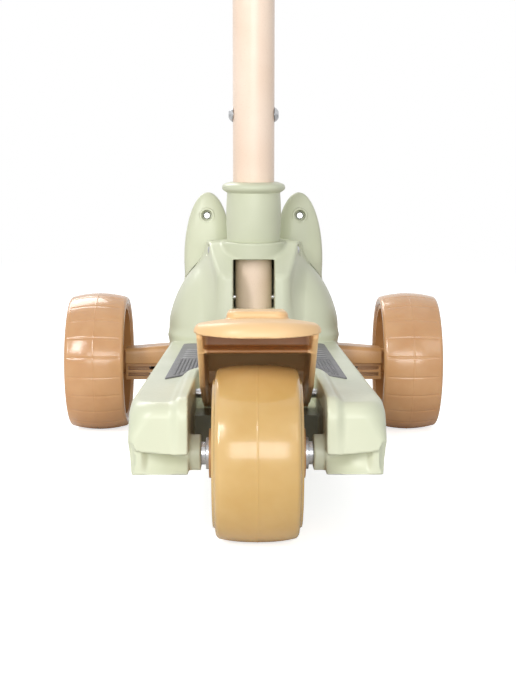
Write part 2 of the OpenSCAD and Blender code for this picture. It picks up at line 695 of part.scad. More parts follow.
module front_axle_nuts() color(steel) for (side = [0, 1]) mirror([side, 0, 0])
    translate([nut_x - 3.25, front_y, front_r]) along_x() difference() {
        hexagon(6.5, 13);
        translate([0, 0, -1]) cylinder(h = 9, r = axle_r);
    }

// Centring springs: one unbroken coil each, with closed ends
spring_low = beam_top + 1.4;
spring_high = shelf_z;
spring_h = spring_high - spring_low;
function coil(r, height, curls, dead, steps = 8) = [for (i = [0:steps * (curls + 2 * dead)])
    let (turn = i / steps, rise = max(0, min(1, (turn - dead) / curls)))
    [r * cos(360 * turn), r * sin(360 * turn), height * rise]];
spring_path = coil(spring_coil_r, spring_h - spring_wire - 1, spring_curls - 2, 0);
function least_gap(path, apart, r) = min([for (i = [0:len(path) - 1])
    for (j = [i + apart:1:len(path) - 1]) norm(path[i] - path[j])]) - 2 * r;
echo(spring_gap = least_gap(spring_path, 5, spring_wire / 2));
module centring_spring(side) color(steel) translate([side * spring_x, front_y, spring_low + spring_wire / 2 + 0.5])
    wire(spring_path, spring_wire / 2);
module centring_spring_left() centring_spring(-1);
module centring_spring_right() centring_spring(1);

// Wheels, turned about the x axis at the origin and then put in place
function tread(half_w, r, crown) =
    let (big = (half_w * half_w + crown * crown) / (2 * crown), span = asin(half_w / big))
    arc([0, r - big], big, 90 - span, 90 + span, 10);
module revolve() along_x() rotate_extrude($fn = 96) children();
// A profile is drawn as x along the axle and y as radius
module wheel_profile(points) revolve() polygon([for (p = points) [p[1], p[0]]]);
hub_seat_r = front_r - crown_h - tread_t;
module front_tyre() wheel_profile(concat([[tyre_w / 2 - 2, hub_seat_r], [tyre_w / 2, hub_seat_r + 2]],
    tread(tyre_w / 2, front_r, crown_h), [[-tyre_w / 2, hub_seat_r + 2], [-tyre_w / 2 + 2, hub_seat_r]]));
hub_boss_half = 16;
module spokes(inner_r, outer_r, half_w) for (i = [0:spoke_count - 1]) rotate([i * 360 / spoke_count, 0, 0])
    translate([-half_w, -1.5, inner_r]) cube([2 * half_w, 3, outer_r - inner_r]);
module hub(rim_r, rim_half, boss_half, web_x) difference() {
    union() {
        wheel_profile([[-rim_half, rim_r - 3.5], [rim_half, rim_r - 3.5], [rim_half, rim_r], [-rim_half, rim_r]]);
        wheel_profile([[-boss_half, 5], [boss_half, 5], [boss_half, bearing_r + 3], [-boss_half, bearing_r + 3]]);
        wheel_profile([[web_x - 2, 6], [web_x + 2, 6], [web_x + 2, rim_r - 2], [web_x - 2, rim_r - 2]]);
        intersection() {
            spokes(bearing_r + 1, rim_r - 2, min(rim_half - 5, boss_half - 1.5));
            rod(-rim_half, rim_half, rim_r - 1);
        }
    }
    rod(-60, 60, axle_r + 3);
    for (side = [0, 1]) mirror([side, 0, 0]) rod(boss_half - bearing_w, boss_half + 1, bearing_r);
}
module bearings(boss_half) for (side = [0, 1]) mirror([side, 0, 0]) translate([boss_half - bearing_w, 0, 0])
    along_x() difference() {
        cylinder(h = bearing_w, r = bearing_r);
        translate([0, 0, -1]) cylinder(h = bearing_w + 2, r = axle_r + play);
        for (z = [-1, bearing_w - 0.6]) translate([0, 0, z]) tube(1.6, bearing_r - 2, axle_r + 2);
    }
module spacer_tube(boss_half) translate([bearing_w - boss_half, 0, 0]) along_x()
    tube(2 * (boss_half - bearing_w), axle_r + 2, axle_r + play);
module at_front(side) translate([side * track_w / 2, front_y, front_r]) mirror([side < 0 ? 1 : 0, 0, 0]) children();
front_head_x = track_w / 2 + hub_boss_half + 1.5;
module front_hub() hub(hub_seat_r, tyre_w / 2 - 2, hub_boss_half, 3);
module hub_cap() difference() {
    union() {
        wheel_profile(concat([[hub_boss_half, 0], [hub_boss_half, bearing_r + 7]],
            arc([hub_boss_half + 2, bearing_r + 5], 2, 90, 0, 3), [[tyre_w / 2 - 1.5, 8], [tyre_w / 2 - 1, 0]]));
    }
    rod(hub_boss_half - 1, tyre_w / 2 - 2.5, 8.5);
}
module front_tyre_left() color(caramel) at_front(-1) front_tyre();
module front_tyre_right() color(caramel) at_front(1) front_tyre();
module front_hub_left() color(caramel) at_front(-1) front_hub();
module front_hub_right() color(caramel) at_front(1) front_hub();
module front_bearings_left() color(steel) at_front(-1) bearings(hub_boss_half);
module front_bearings_right() color(steel) at_front(1) bearings(hub_boss_half);
module front_spacer_left() color(steel) at_front(-1) spacer_tube(hub_boss_half);
module front_spacer_right() color(steel) at_front(1) spacer_tube(hub_boss_half);
module hub_cap_left() color(caramel) at_front(-1) hub_cap();
module hub_cap_right() color(caramel) at_front(1) hub_cap();
module front_washers() color(steel) for (side = [-1, 1]) at_front(side) {
    translate([hub_boss_half, 0, 0]) along_x() tube(1.5, 7.5, axle_r);
    translate([-hub_boss_half - 1.5, 0, 0]) along_x() tube(1.5, 7.5, axle_r);
}
module at_rear() translate([0, rear_y, rear_r]) children();
rear_seat_r = rear_r - crown_h + 0.8 - 7;
rear_boss_half = tyre_w / 2 + 2;
module rear_tyre() color(caramel) at_rear() wheel_profile(concat([[tyre_w / 2 - 3, rear_seat_r]],
    [[tyre_w / 2 - 2.5, rear_seat_r + 4]], tread(tyre_w / 2 - 3, rear_r, crown_h - 1.6),
    [[3 - tyre_w / 2 - 0.5, rear_seat_r + 4], [3 - tyre_w / 2, rear_seat_r]]));
module rear_hub() color(caramel) at_rear() hub(rear_seat_r, tyre_w / 2, rear_boss_half, 0);
module rear_bearings() color(steel) at_rear() bearings(rear_boss_half);
module rear_spacer() color(steel) at_rear() spacer_tube(rear_boss_half);
module rear_washers() color(steel) at_rear() for (side = [0, 1]) mirror([side, 0, 0])
    translate([rear_boss_half, 0, 0]) along_x() difference() {
        union() {
            cylinder(h = 1.8, r = 9);
            cylinder(h = axle_boss_x - rear_boss_half, r = 6.5);
        }
        translate([0, 0, -1]) cylinder(h = 20, r = axle_r);
    }
module rear_axle() color(steel) at_rear() {
    rod(-axle_pocket_x, axle_pocket_x + 5.5, axle_r);
    translate([-axle_pocket_x - 5, 0, 0]) along_x() difference() {
        cylinder(h = 5, r = 7);
        translate([0, 0, -1]) hexagon(3.5, 6);
    }
}
module rear_axle_nut() color(steel) at_rear() translate([axle_pocket_x, 0, 0]) along_x() difference() {
    hexagon(5.5, 13);
    translate([0, 0, -1]) cylinder(h = 9, r = axle_r);
}

// Brake pedal: a hollow cover over the rear tyre, hinged ahead of it
pedal_end_y = rear_y - 43;
pedal_big_r = 560;
pedal_mid_y = rear_y + 20;
pedal_side_x = pedal_half_w - 2.3;
plate_t = 5;
hinge_r = 8.5;
slope_angle = 48;
function pedal_outline(inset) =
    let (centre = [pedal_mid_y, pedal_top - pedal_big_r], r = pedal_big_r - inset)
    let (a0 = acos((pedal_end_y + inset - pedal_mid_y) / r), a1 = acos(22 / r))
    concat(arc(centre, r, a0, a1, 8), arc([hinge_y, hinge_z], hinge_r - inset, slope_angle, -60, 6),
        [[hinge_y - 26, hinge_z - 3], [rear_y + 25, deck_top + 3], [rear_y - 25, pedal_top - 8.5],
        [pedal_end_y + inset, pedal_top - 8.5 - inset]]);
module pedal_plan(half, back) polygon(concat([[half, hinge_y + 20], [-half, hinge_y + 20]],
    [for (i = [0:12]) let (x = -half + 2 * half * i / 12) [x, pedal_end_y + back + 15 * pow(abs(x) / half, 2.6)]]));
module crowned(inset) intersection() {
    translate([0, hinge_y + 60, pedal_top - 246 - inset]) rotate([90, 0, 0])
        cylinder(h = 300, r = 246, $fn = 180);
    children();
}
shoe_t = 2.5;
shoe_from = -10;
shoe_to = 14;
module pedal_inside() crowned(plate_t) intersection() {
    side_profile(2 * (pedal_side_x - pedal_wall)) polygon(pedal_outline(plate_t));
    translate([0, 0, 40]) linear_extrude(120) pedal_plan(pedal_half_w - 2, 5);
}
module brake_pedal() color(apricot) difference() {
    union() {
        difference() {
            union() {
                crowned(0) intersection() {
                    side_profile(100) polygon(pedal_outline(0));
                    translate([0, 0, 40]) linear_extrude(120) pedal_plan(pedal_half_w, 0);
                }
                // Raised pad
                translate([0, 0, pedal_top - 6]) linear_extrude(6 + pad_h) polygon(rounded([[-17, rear_y - 14],
                    [17, rear_y - 14], [17, rear_y + 42], [-17, rear_y + 42]], [7, 7, 7, 7]));
            }
            pedal_inside();
            // Sides set back from the plate's edge
            for (side = [-1, 1]) translate([side * (pedal_side_x + 5), 0, 0])
                cube([10, 1000, 2 * (pedal_top - 8)], center = true);
        }
        // Rubbing shoe over the tyre, its cross ribs and the catch for the return spring
        translate([0, rear_y, rear_r]) intersection() {
            difference() {
                rod(-pedal_side_x + 1, pedal_side_x - 1, rear_r + brake_gap + shoe_t);
                rod(-40, 40, rear_r + brake_gap);
            }
            translate([-40, shoe_from, 0]) cube([80, shoe_to - shoe_from, 200]);
        }
        intersection() {
            for (y = [-14, 2, 28]) translate([-pedal_side_x + 1, rear_y + y, rear_r])
                cube([2 * pedal_side_x - 2, 2.2, 100]);
            crowned(1) side_profile(100) polygon(pedal_outline(1));
            translate([-40, rear_y - 60, 2 * rear_r + brake_gap]) cube([80, 120, 100]);
        }
        translate([-pedal_side_x + 1, hinge_y - 20, catch_z]) cube([2 * pedal_side_x - 2, 4, 8]);
    }
    // Room round the hinge pin between the two ears
    translate([0, hinge_y, hinge_z]) {
        rod(-60, 60, brake_pin_r + play);
        translate([-ear_in, -11, -12]) cube([2 * ear_in, 30, 30]);
    }
}
ear_in = 22;
module brake_pin() color(steel) translate([0, hinge_y, hinge_z]) rod(-well_half - 7.5, well_half + 7.5, brake_pin_r);

// Return spring: one wire coiled round the pin, one leg on the floor and one under the catch
brake_wire = 1.6;
catch_z = hinge_z + 8;
brake_coil_r = brake_pin_r + brake_wire / 2 + 0.5;
brake_pitch = 2.2;
leg_y = -18;
brake_path = concat([[0, leg_y, hinge_floor - hinge_z + brake_wire / 2], [0, leg_y / 2, -brake_coil_r - 1.2]],
    [for (i = [0:8 * brake_curls + 5]) let (a = -90 - 45 * i)
        [3 + i * brake_pitch / 8, brake_coil_r * cos(a), brake_coil_r * sin(a)]],
    [[5 + brake_curls * brake_pitch, leg_y, catch_z - hinge_z - brake_wire / 2]]);
module brake_spring() color(steel) translate([-brake_curls * brake_pitch / 2 - 3, hinge_y, hinge_z])
    wire(brake_path, brake_wire / 2);
echo(brake_spring_gap = least_gap(brake_path, 5, brake_wire / 2));

// Stem, in its own frame with the neck's top at zero
spigot_r = 19;
step_u = 6;
neck_bolt_r = 2.5;
module on_neck_bolt() on_stem() translate([0, 0, -8]) children();
module on_post_bolt() on_stem() translate([0, 0, window_sill - neck_top + 9]) children();
post_top = stem_bolt_u + 24;
module stem_post() color(cream) difference() {
    on_stem() translate([0, 0, socket_floor_u + 3]) tube(post_top - socket_floor_u - 3, post_r, post_r - 1.5);
    on_neck_bolt() rod(-30, 30, neck_bolt_r);
    on_post_bolt() rod(-30, 30, neck_bolt_r);
    on_stem() translate([0, 0, stem_bolt_u]) rod(-30, 30, barrel_r);
}
module cross_bolt(half, head_r, head_h) {
    rod(-half, half, neck_bolt_r);
    translate([half, 0, 0]) along_x() button_head(head_r, head_h);
    translate([-half, 0, 0]) rotate([0, -90, 0]) button_head(head_r, head_h);
}
module neck_bolt() color(steel) on_neck_bolt() cross_bolt(neck_side_half - 5, 4.4, 2.4);
module post_bolt() color(steel) on_post_bolt() cross_bolt(window_half + wall, 4.4, 2.4);
module stem_collar() color(green) on_stem() difference() {
    union() {
        translate([0, 0, 0.5 - boss_h]) cylinder(h = boss_h, r = spigot_r);
        rotate_extrude() polygon(concat([[0, 0.02], [collar_r - 0.8, 0.02]],
            [for (i = [1:5]) [collar_r - 0.8 + 0.8 * sin(i * 30), i * (collar_h - 9) / 6]],
            [[collar_r - 0.8, collar_h - 9]],
            arc([lip_r - 3.2, collar_h - 4.5], 3.2, -60, 70, 6),
            [[stem_r + 3, collar_h], [0, collar_h]]));
    }
    translate([0, 0, -boss_h - 1]) cylinder(h = boss_h + step_u + 2, r = post_r + play);
    translate([0, 0, step_u]) cylinder(h = collar_h, r = stem_r + play);
    translate([0, 0, -8]) rod(-30, 30, neck_bolt_r);
}
barrel_r = 3.6;
module stem_tube() color(cream) on_stem() difference() {
    translate([0, 0, step_u]) tube(stem_len, stem_r, stem_r - tube_t);
    translate([0, 0, stem_bolt_u]) rod(-30, 30, barrel_r);
}
module stem_bolt() color(steel) on_stem() translate([0, 0, stem_bolt_u]) {
    rod(-stem_r + 4, stem_r, neck_bolt_r);
    translate([stem_r, 0, 0]) along_x() button_head(6.3, 4);
}
module stem_barrel_nut() color(steel) on_stem() translate([0, 0, stem_bolt_u]) difference() {
    union() {
        rod(-stem_r, stem_r - 3, barrel_r);
        translate([-stem_r, 0, 0]) rotate([0, -90, 0]) button_head(6.3, 4);
    }
    rod(-stem_r + 3, stem_r, neck_bolt_r);
}

// Height clamp at the top of the stem tube
stem_top = step_u + stem_len;
clamp_h = 24;
clamp_low = stem_top - 16;
clamp_r = stem_r + 4.5;
module guide_bush() color(grey) on_stem() difference() {
    union() {
        translate([0, 0, stem_top - 28]) cylinder(h = 28, r = stem_r - tube_t);
        translate([0, 0, stem_top]) cylinder(h = clamp_low + clamp_h - stem_top - 1.5, r = stem_r);
    }
    translate([0, 0, stem_top - 40]) cylinder(h = 80, r = bar_post_r + play);
    translate([-1, -30, stem_top]) cube([2, 30, 20]);
}
ear_y = -clamp_r - 7;
module clamp_collar() color(green) on_stem() translate([0, 0, clamp_low]) difference() {
    union() {
        cylinder(h = clamp_h, r = clamp_r);
        translate([0, 0, clamp_h]) rotate_extrude() translate([clamp_r - 2, -1]) circle(1.99);
        translate([-9, ear_y - 6, 3]) cube([18, 16, clamp_h - 6]);
    }
    translate([0, 0, -1]) cylinder(h = clamp_h + 10, r = stem_r);
    translate([-1, -50, -1]) cube([2, 50, clamp_h + 10]);
    translate([0, ear_y, clamp_h / 2]) rod(-20, 20, 3);
}
lever_x = -18;
arm_out = 9.7;
arm_t = 4.6;
module at_lever() on_stem() translate([lever_x, ear_y, clamp_low + clamp_h / 2]) children();
module clamp_bolt() color(steel) on_stem() translate([0, ear_y, clamp_low + clamp_h / 2]) difference() {
    union() {
        rod(lever_x - 2, 12, 2.9);
        translate([9, 0, 0]) along_x() button_head(6, 3.6);
        translate([lever_x, 0, -4]) cylinder(h = 8, r = 5);
    }
    translate([lever_x, 0, -9]) cylinder(h = 18, r = 2);
}
module clamp_pin() color(steel) at_lever() translate([0, 0, -clamp_h / 2 + 3]) cylinder(h = clamp_h - 6, r = 2);
module clamp_lever() color(grey) at_lever() difference() {
    union() {
        translate([0, 0, 3 - clamp_h / 2]) cylinder(h = clamp_h - 6, r = 8.7);
        translate([-arm_out, 0, 3 - clamp_h / 2]) cube([arm_t, 38, clamp_h - 6]);
        translate([arm_t / 2 - arm_out, 38, 3 - clamp_h / 2]) cylinder(h = clamp_h - 6, r = arm_t / 2);
    }
    translate([0, 0, -20]) cylinder(h = 40, r = 2 + play);
    // Slot that the clamp bolt's eye sweeps through
    translate([-6, -12, -4.3]) cube([30, 24, 8.6]);
    translate([-12, -12, -4.3]) cube([30, 15.5, 8.6]);
    translate([0, 0, -4.3]) cylinder(h = 8.6, r = 5.6);
}

// Sliding inner tube with the handlebar
bar_foot = stem_bolt_u + 36;
module bar_tube() color(cream) on_stem() translate([0, 0, bar_foot]) tube(bar_u - bar_foot, bar_post_r, bar_post_r - 1.5);
module foot_bush() color(grey) on_stem() translate([0, 0, bar_foot - 2]) difference() {
    union() {
        cylinder(h = 2, r = stem_r - tube_t - play);
        cylinder(h = 18, r = bar_post_r - 1.5);
    }
    translate([0, 0, -1]) cylinder(h = 24, r = bar_post_r - 4);
}
tee_r = bar_post_r + 4.5;
module tee_cover() color(green) on_stem() difference() {
    union() {
        translate([0, 0, bar_u - 42]) rotate_extrude() polygon([[0, 0], [bar_post_r + 2.5, 0], [tee_r - 1, 3],
            [tee_r + 1, 42], [0, 42]]);
        translate([0, 0, bar_u]) rod(-30, 30, bar_r + 5.5);
        translate([0, 0, bar_u]) sphere(r = bar_r + 8.5, $fn = 64);
    }
    translate([0, 0, bar_u]) rod(-60, 60, bar_r);
    translate([0, 0, bar_u - 60]) cylinder(h = 60, r = bar_post_r);
}
module handlebar() color(cream) on_stem() difference() {
    translate([0, 0, bar_u]) rod(-bar_w / 2 + 3, bar_w / 2 - 3, bar_r);
    translate([0, 0, bar_u]) rod(-bar_w, bar_w, bar_r - 1.5);
    translate([0, 0, bar_u - 60]) cylinder(h = 60, r = bar_post_r);
}
module grip() difference() {
    union() {
        rod(bar_w / 2 - grip_len, bar_w / 2 - 4, grip_r);
        translate([bar_w / 2 - grip_len, 0, 0]) along_x() rotate_extrude() translate([grip_r + 1.5, 2.5]) circle(2.5);
        rod(bar_w / 2 - grip_len, bar_w / 2 - grip_len + 5, grip_r + 1.5);
        translate([bar_w / 2 - 4, 0, 0]) along_x() rotate_extrude() intersection() {
            square([grip_r + 3, 4]);
            translate([0, -36]) circle(40);
        }
        for (i = [0:9]) translate([bar_w / 2 - grip_len + 13 + i * (grip_len - 26) / 9, 0, 0])
            rod(-1.5, 1.5, grip_r + 0.8);
    }
    rod(0, bar_w / 2 - 3, bar_r);
}
module grip_left() color(caramel) on_stem() translate([0, 0, bar_u]) mirror([1, 0, 0]) grip();
module grip_right() color(caramel) on_stem() translate([0, 0, bar_u]) grip();

deck_shell();
front_cover();
lobe_back_left();
lobe_back_right();
cover_screws();
grip_mat();
pivot_bracket();
bracket_screws();
kingpin();
kingpin_nut();
stem_post();
post_bolt();
neck_bolt();
stem_collar();
stem_tube();
stem_bolt();
stem_barrel_nut();
guide_bush();
clamp_collar();
clamp_bolt();
rear_axle();
rear_axle_nut();
rear_washers();
brake_pin();
brake_spring();
centring_spring_left();
centring_spring_right();
axle_beam();
pivot_bushes();
front_axles();
front_axle_nuts();
front_washers();
front_tyre_left();
front_hub_left();
front_bearings_left();
front_spacer_left();
hub_cap_left();
front_tyre_right();
front_hub_right();
front_bearings_right();
front_spacer_right();
hub_cap_right();
rear_tyre();
rear_hub();
rear_bearings();
rear_spacer();
brake_pedal();
bar_tube();
foot_bush();
tee_cover();
handlebar();
grip_left();
grip_right();
clamp_lever();
clamp_pin();
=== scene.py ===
import json
import math

import bmesh
import bpy
import numpy as np
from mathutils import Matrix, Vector


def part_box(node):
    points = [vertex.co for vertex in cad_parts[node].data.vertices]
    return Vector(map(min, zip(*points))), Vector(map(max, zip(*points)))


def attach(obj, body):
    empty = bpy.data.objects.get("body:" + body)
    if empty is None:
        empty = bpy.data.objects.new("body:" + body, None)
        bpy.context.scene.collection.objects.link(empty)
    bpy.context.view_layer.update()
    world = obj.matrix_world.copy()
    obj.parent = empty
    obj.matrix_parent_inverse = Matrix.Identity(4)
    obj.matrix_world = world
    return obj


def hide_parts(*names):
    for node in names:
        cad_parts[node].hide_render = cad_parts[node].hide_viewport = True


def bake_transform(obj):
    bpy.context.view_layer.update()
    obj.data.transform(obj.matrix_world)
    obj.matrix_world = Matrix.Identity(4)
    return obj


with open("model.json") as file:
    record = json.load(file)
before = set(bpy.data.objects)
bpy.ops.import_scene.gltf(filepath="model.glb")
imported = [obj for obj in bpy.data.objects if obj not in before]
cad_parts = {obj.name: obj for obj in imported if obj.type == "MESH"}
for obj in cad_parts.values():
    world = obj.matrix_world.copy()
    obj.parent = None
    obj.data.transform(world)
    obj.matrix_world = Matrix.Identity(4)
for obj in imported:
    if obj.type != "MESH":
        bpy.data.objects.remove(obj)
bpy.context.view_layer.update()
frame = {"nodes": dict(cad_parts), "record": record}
nodes = frame["nodes"]
scene = bpy.context.scene

# camera: low behind the rear wheel, as the photograph was taken
cameraView = {"place": (-0.00571, -0.94114, 0.17528), "down": 5.005, "turn": 0.486, "lens": 68.12}
camera = bpy.data.objects.new("camera", bpy.data.cameras.new("camera"))
scene.collection.objects.link(camera)
camera.location = cameraView["place"]
camera.rotation_euler = (math.radians(90 - cameraView["down"]), 0, -math.radians(cameraView["turn"]))
camera.data.lens = cameraView["lens"]
camera.data.sensor_width = 36
camera.data.clip_start = 0.01
scene.camera = camera
scene.view_settings.view_transform = "Standard"


def hexColour(text):  # sRGB hex to linear
    parts = [int(text[i:i + 2], 16) / 255 for i in (0, 2, 4)]
    return tuple(c / 12.92 if c <= 0.04045 else ((c + 0.055) / 1.055) ** 2.4 for c in parts) + (1.0,)


def addNode(tree, kind, settings=None, inputs=None):  # a node, its settings, and values or links into it
    item = tree.nodes.new(kind)
    for name, value in (settings or {}).items():
        setattr(item, name, value)
    for name, value in (inputs or {}).items():
        if isinstance(value, bpy.types.NodeSocket):
            tree.links.new(value, item.inputs[name])
        else:
            item.inputs[name].default_value = value
    return item


# softboxes: left and right behind the camera, one overhead, a wide one further behind the camera, and one high
# on the left beyond the scooter
studio = {
    "left": {"place": (-1.15, -1.75, 1.25), "size": (0.5, 0.9), "watts": 24},
    "right": {"place": (1.25, -1.6, 1.2), "size": (0.85, 0.9), "watts": 4},
    "top": {"place": (0.0, 0.1, 2.1), "size": (1.8, 1.8), "watts": 3},
    "near": {"place": (0.1, -3.4, 0.8), "size": (2.2, 1.2), "watts": 44},
    "far": {"place": (-1.0, 1.7, 2.0), "size": (1.6, 1.2), "watts": 32},
}
for name, lamp in studio.items():
    light = bpy.data.objects.new("softbox" + name.capitalize(), bpy.data.lights.new("softbox" + name, "AREA"))
    scene.collection.objects.link(light)
    light.data.shape = "RECTANGLE"
    light.data.size, light.data.size_y = lamp["size"]
    light.data.energy = lamp["watts"]
    light.location = lamp["place"]
    aim = Vector((0, 0.05, 0.15)) - Vector(lamp["place"])
    light.rotation_euler = aim.to_track_quat("-Z", "Y").to_euler()

world = bpy.data.worlds.new("paleStudio")
scene.world = world
world.use_nodes = True
tree = world.node_tree
tree.nodes.clear()
path = addNode(tree, "ShaderNodeLightPath")
seen = addNode(tree, "ShaderNodeMath", {"operation": "MAXIMUM"}, {
    0: path.outputs["Is Camera Ray"], 1: path.outputs["Is Transmission Ray"]})
seen = addNode(tree, "ShaderNodeMath", {"operation": "MAXIMUM"}, {
    0: seen.outputs[0], 1: path.outputs["Is Glossy Ray"]})
ambient = addNode(tree, "ShaderNodeBackground", None, {"Color": hexColour("F4F6FA"), "Strength": 0.3})
backdrop = addNode(tree, "ShaderNodeBackground", None, {"Color": (1, 1, 1, 1), "Strength": 1.0})
mixed = addNode(tree, "ShaderNodeMixShader", None, {
    0: seen.outputs[0], 1: ambient.outputs[0], 2: backdrop.outputs[0]})
addNode(tree, "ShaderNodeOutputWorld", None, {"Surface": mixed.outputs[0]})

# floor: matt white paper; what the camera sees of it is lifted to white and keeps the shadow
floorMesh = bpy.data.meshes.new("paperFloor")
floorMesh.from_pydata([(-6, -6, 0), (6, -6, 0), (6, 6, 0), (-6, 6, 0)], [], [(0, 1, 2, 3)])
floor = bpy.data.objects.new("paperFloor", floorMesh)
scene.collection.objects.link(floor)
paper = bpy.data.materials.new("paper")
paper.use_nodes = True
tree = paper.node_tree
tree.nodes.clear()
path = addNode(tree, "ShaderNodeLightPath")
matt = addNode(tree, "ShaderNodeBsdfDiffuse", None, {"Color": hexColour("F7F7F5")})
lift = addNode(tree, "ShaderNodeEmission", None, {"Color": (1, 1, 1, 1), "Strength": 0.74})
none = addNode(tree, "ShaderNodeEmission", None, {"Strength": 0.0})
lifted = addNode(tree, "ShaderNodeMixShader", None, {
    0: path.outputs["Is Camera Ray"], 1: none.outputs[0], 2: lift.outputs[0]})
whole = addNode(tree, "ShaderNodeAddShader", None, {0: matt.outputs[0], 1: lifted.outputs[0]})
addNode(tree, "ShaderNodeOutputMaterial", None, {"Surface": whole.outputs[0]})
floorMesh.materials.append(paper)
print("camera, light and floor are set")


noiseSpan = {"From Min": 0.3, "From Max": 0.7}  # where most values of the noise lie
scratchSpan = {"From Min": 0.62, "From Max": 0.72}  # only its peaks, as thin marks


# a material: two tones in soft clouds, roughness from the grain, relief from the grain or a slower ripple
def makeFinish(name, look):
    material = bpy.data.materials.new(name)
    material.use_nodes = True
    tree = material.node_tree
    tree.nodes.clear()
    where = addNode(tree, "ShaderNodeTexCoord")
    place = addNode(tree, "ShaderNodeVectorMath", {"operation": "SCALE"}, {
        0: where.outputs["Object"], "Scale": 1000.0}).outputs[0]
    noise = {}
    for use, (size, detail, *stretch) in look["noise"].items():  # millimetres, detail, stretch along x, y, z
        spot = addNode(tree, "ShaderNodeVectorMath", {"operation": "DIVIDE"}, {
            0: place, 1: stretch or (1, 1, 1)})
        noise[use] = addNode(tree, "ShaderNodeTexNoise", None, {
            "Vector": spot.outputs[0], "Scale": 1.0 / size, "Detail": detail, "Roughness": 0.55}).outputs["Fac"]
    share = addNode(tree, "ShaderNodeMapRange", None, {
        **noiseSpan, "Value": noise["clouds"], "To Min": 0, "To Max": 1})
    colour = addNode(tree, "ShaderNodeMix", {"data_type": "RGBA"}, {
        0: share.outputs[0], 6: hexColour(look["deep"]), 7: hexColour(look["pale"])}).outputs[2]
    rough = addNode(tree, "ShaderNodeMapRange", None, {
        **noiseSpan, "Value": noise["grain"],
        "To Min": look["rough"][0], "To Max": look["rough"][1]}).outputs[0]
    if "scratches" in noise:  # fine scratches from handling are duller
        marks = addNode(tree, "ShaderNodeMapRange", None, {
            **scratchSpan, "Value": noise["scratches"], "To Min": 0, "To Max": 1})
        rough = addNode(tree, "ShaderNodeMath", {"operation": "MULTIPLY_ADD"}, {
            0: marks.outputs[0], 1: look["scuff"], 2: rough}).outputs[0]
    if "worn" in look:  # what stands above a height is paler and smoother: wear, and a painted highlight on the tops of the mat's ridges and dots
        worn = look["worn"]
        height = addNode(tree, "ShaderNodeSeparateXYZ", None, {0: place})
        amount = addNode(tree, "ShaderNodeMapRange", None, {
            "Value": height.outputs["Z"], "From Min": worn["from"], "From Max": worn["to"],
            "To Min": 0, "To Max": 1}).outputs[0]
        colour = addNode(tree, "ShaderNodeMix", {"data_type": "RGBA"}, {
            0: amount, 6: colour, 7: hexColour(worn["tint"])}).outputs[2]
        rough = addNode(tree, "ShaderNodeMath", {"operation": "MULTIPLY_ADD"}, {
            0: amount, 1: -worn["smoother"], 2: rough}).outputs[0]
    if "hollow" in look:  # a darker tint in a box, painted to match the shade in a hollow of the photograph
        hollow = look["hollow"]
        off = addNode(tree, "ShaderNodeVectorMath", {"operation": "SUBTRACT"}, {0: place, 1: hollow["middle"]})
        off = addNode(tree, "ShaderNodeVectorMath", {"operation": "ABSOLUTE"}, {0: off.outputs[0]})
        off = addNode(tree, "ShaderNodeVectorMath", {"operation": "SUBTRACT"}, {
            0: off.outputs[0], 1: hollow["half"]})
        sides = addNode(tree, "ShaderNodeSeparateXYZ", None, {0: off.outputs[0]})
        wide = addNode(tree, "ShaderNodeMath", {"operation": "MAXIMUM"}, {
            0: sides.outputs[0], 1: sides.outputs[1]})
        most = addNode(tree, "ShaderNodeMath", {"operation": "MAXIMUM"}, {
            0: wide.outputs[0], 1: sides.outputs[2]})
        uneven = addNode(tree, "ShaderNodeMath", {"operation": "MULTIPLY_ADD"}, {
            0: noise["grain"], 1: 1.5, 2: most.outputs[0]})
        amount = addNode(tree, "ShaderNodeMapRange", None, {
            "Value": uneven.outputs[0], "From Min": -hollow["fade"], "From Max": 0.5,
            "To Min": hollow["most"], "To Max": 0})
        colour = addNode(tree, "ShaderNodeMix", {"data_type": "RGBA"}, {
            0: amount.outputs[0], 6: colour, 7: hexColour(hollow["tint"])}).outputs[2]
    relief = addNode(tree, "ShaderNodeBump", None, {
        "Height": noise.get("ripple", noise["grain"]), "Distance": look["relief"] / 1000,
        "Strength": 1.0}).outputs[0]
    shader = addNode(tree, "ShaderNodeBsdfPrincipled", None, look["shader"])
    for socket, source in (("Base Color", colour), ("Roughness", rough), ("Normal", relief)):
        tree.links.new(source, shader.inputs[socket])
    addNode(tree, "ShaderNodeOutputMaterial", None, {"Surface": shader.outputs[0]})
    return material


scratches = (1.2, 2, 14, 1, 3)  # from handling, mostly across the scooter
# satin ABS, moulded: the pale green shows soft highlights with a faint orange peel
greenAbs = makeFinish("satinGreenAbs", {
    "deep": "CBCFB4", "pale": "D6D9C0", "rough": (0.3, 0.37), "scuff": 0.06, "relief": 0.02,
    "shader": {"Roughness": 0.33, "IOR": 1.53, "Specular IOR Level": 0.38},
    "noise": {"clouds": (60, 2), "grain": (2.4, 2), "scratches": scratches},
    # painted shade: a dark tint over the front wall and sides of the wheel well
    "hollow": {"middle": (0, -161, 50), "half": (40, 38, 24), "fade": 2, "tint": "3E3A26", "most": 0.75}})
# glass-filled nylon, moulded: the axle beam and hubs, a little glossier and with flow marks
caramelNylon = makeFinish("caramelNylon", {
    "deep": "C08E59", "pale": "CF9F68", "rough": (0.27, 0.34), "scuff": 0.1, "relief": 0.03,
    "shader": {"Roughness": 0.3, "IOR": 1.53},
    "noise": {"clouds": (35, 2), "grain": (1.6, 2), "scratches": scratches}})
# polypropylene, moulded: the brake pedal, waxy and pale
apricotPolypropylene = makeFinish("apricotPolypropylene", {
    "deep": "E5BB84", "pale": "EEC896", "rough": (0.33, 0.4), "scuff": 0.08, "relief": 0.03,
    "shader": {"Roughness": 0.36, "IOR": 1.49},
    "noise": {"clouds": (45, 2), "grain": (2.0, 2), "scratches": scratches},
    # painted shade: a dark brown tint inside the cavity under the pedal's plate
    "hollow": {"middle": (0, -217, 90), "half": (30, 39, 29.5), "fade": 2, "tint": "8C5526", "most": 0.8}})
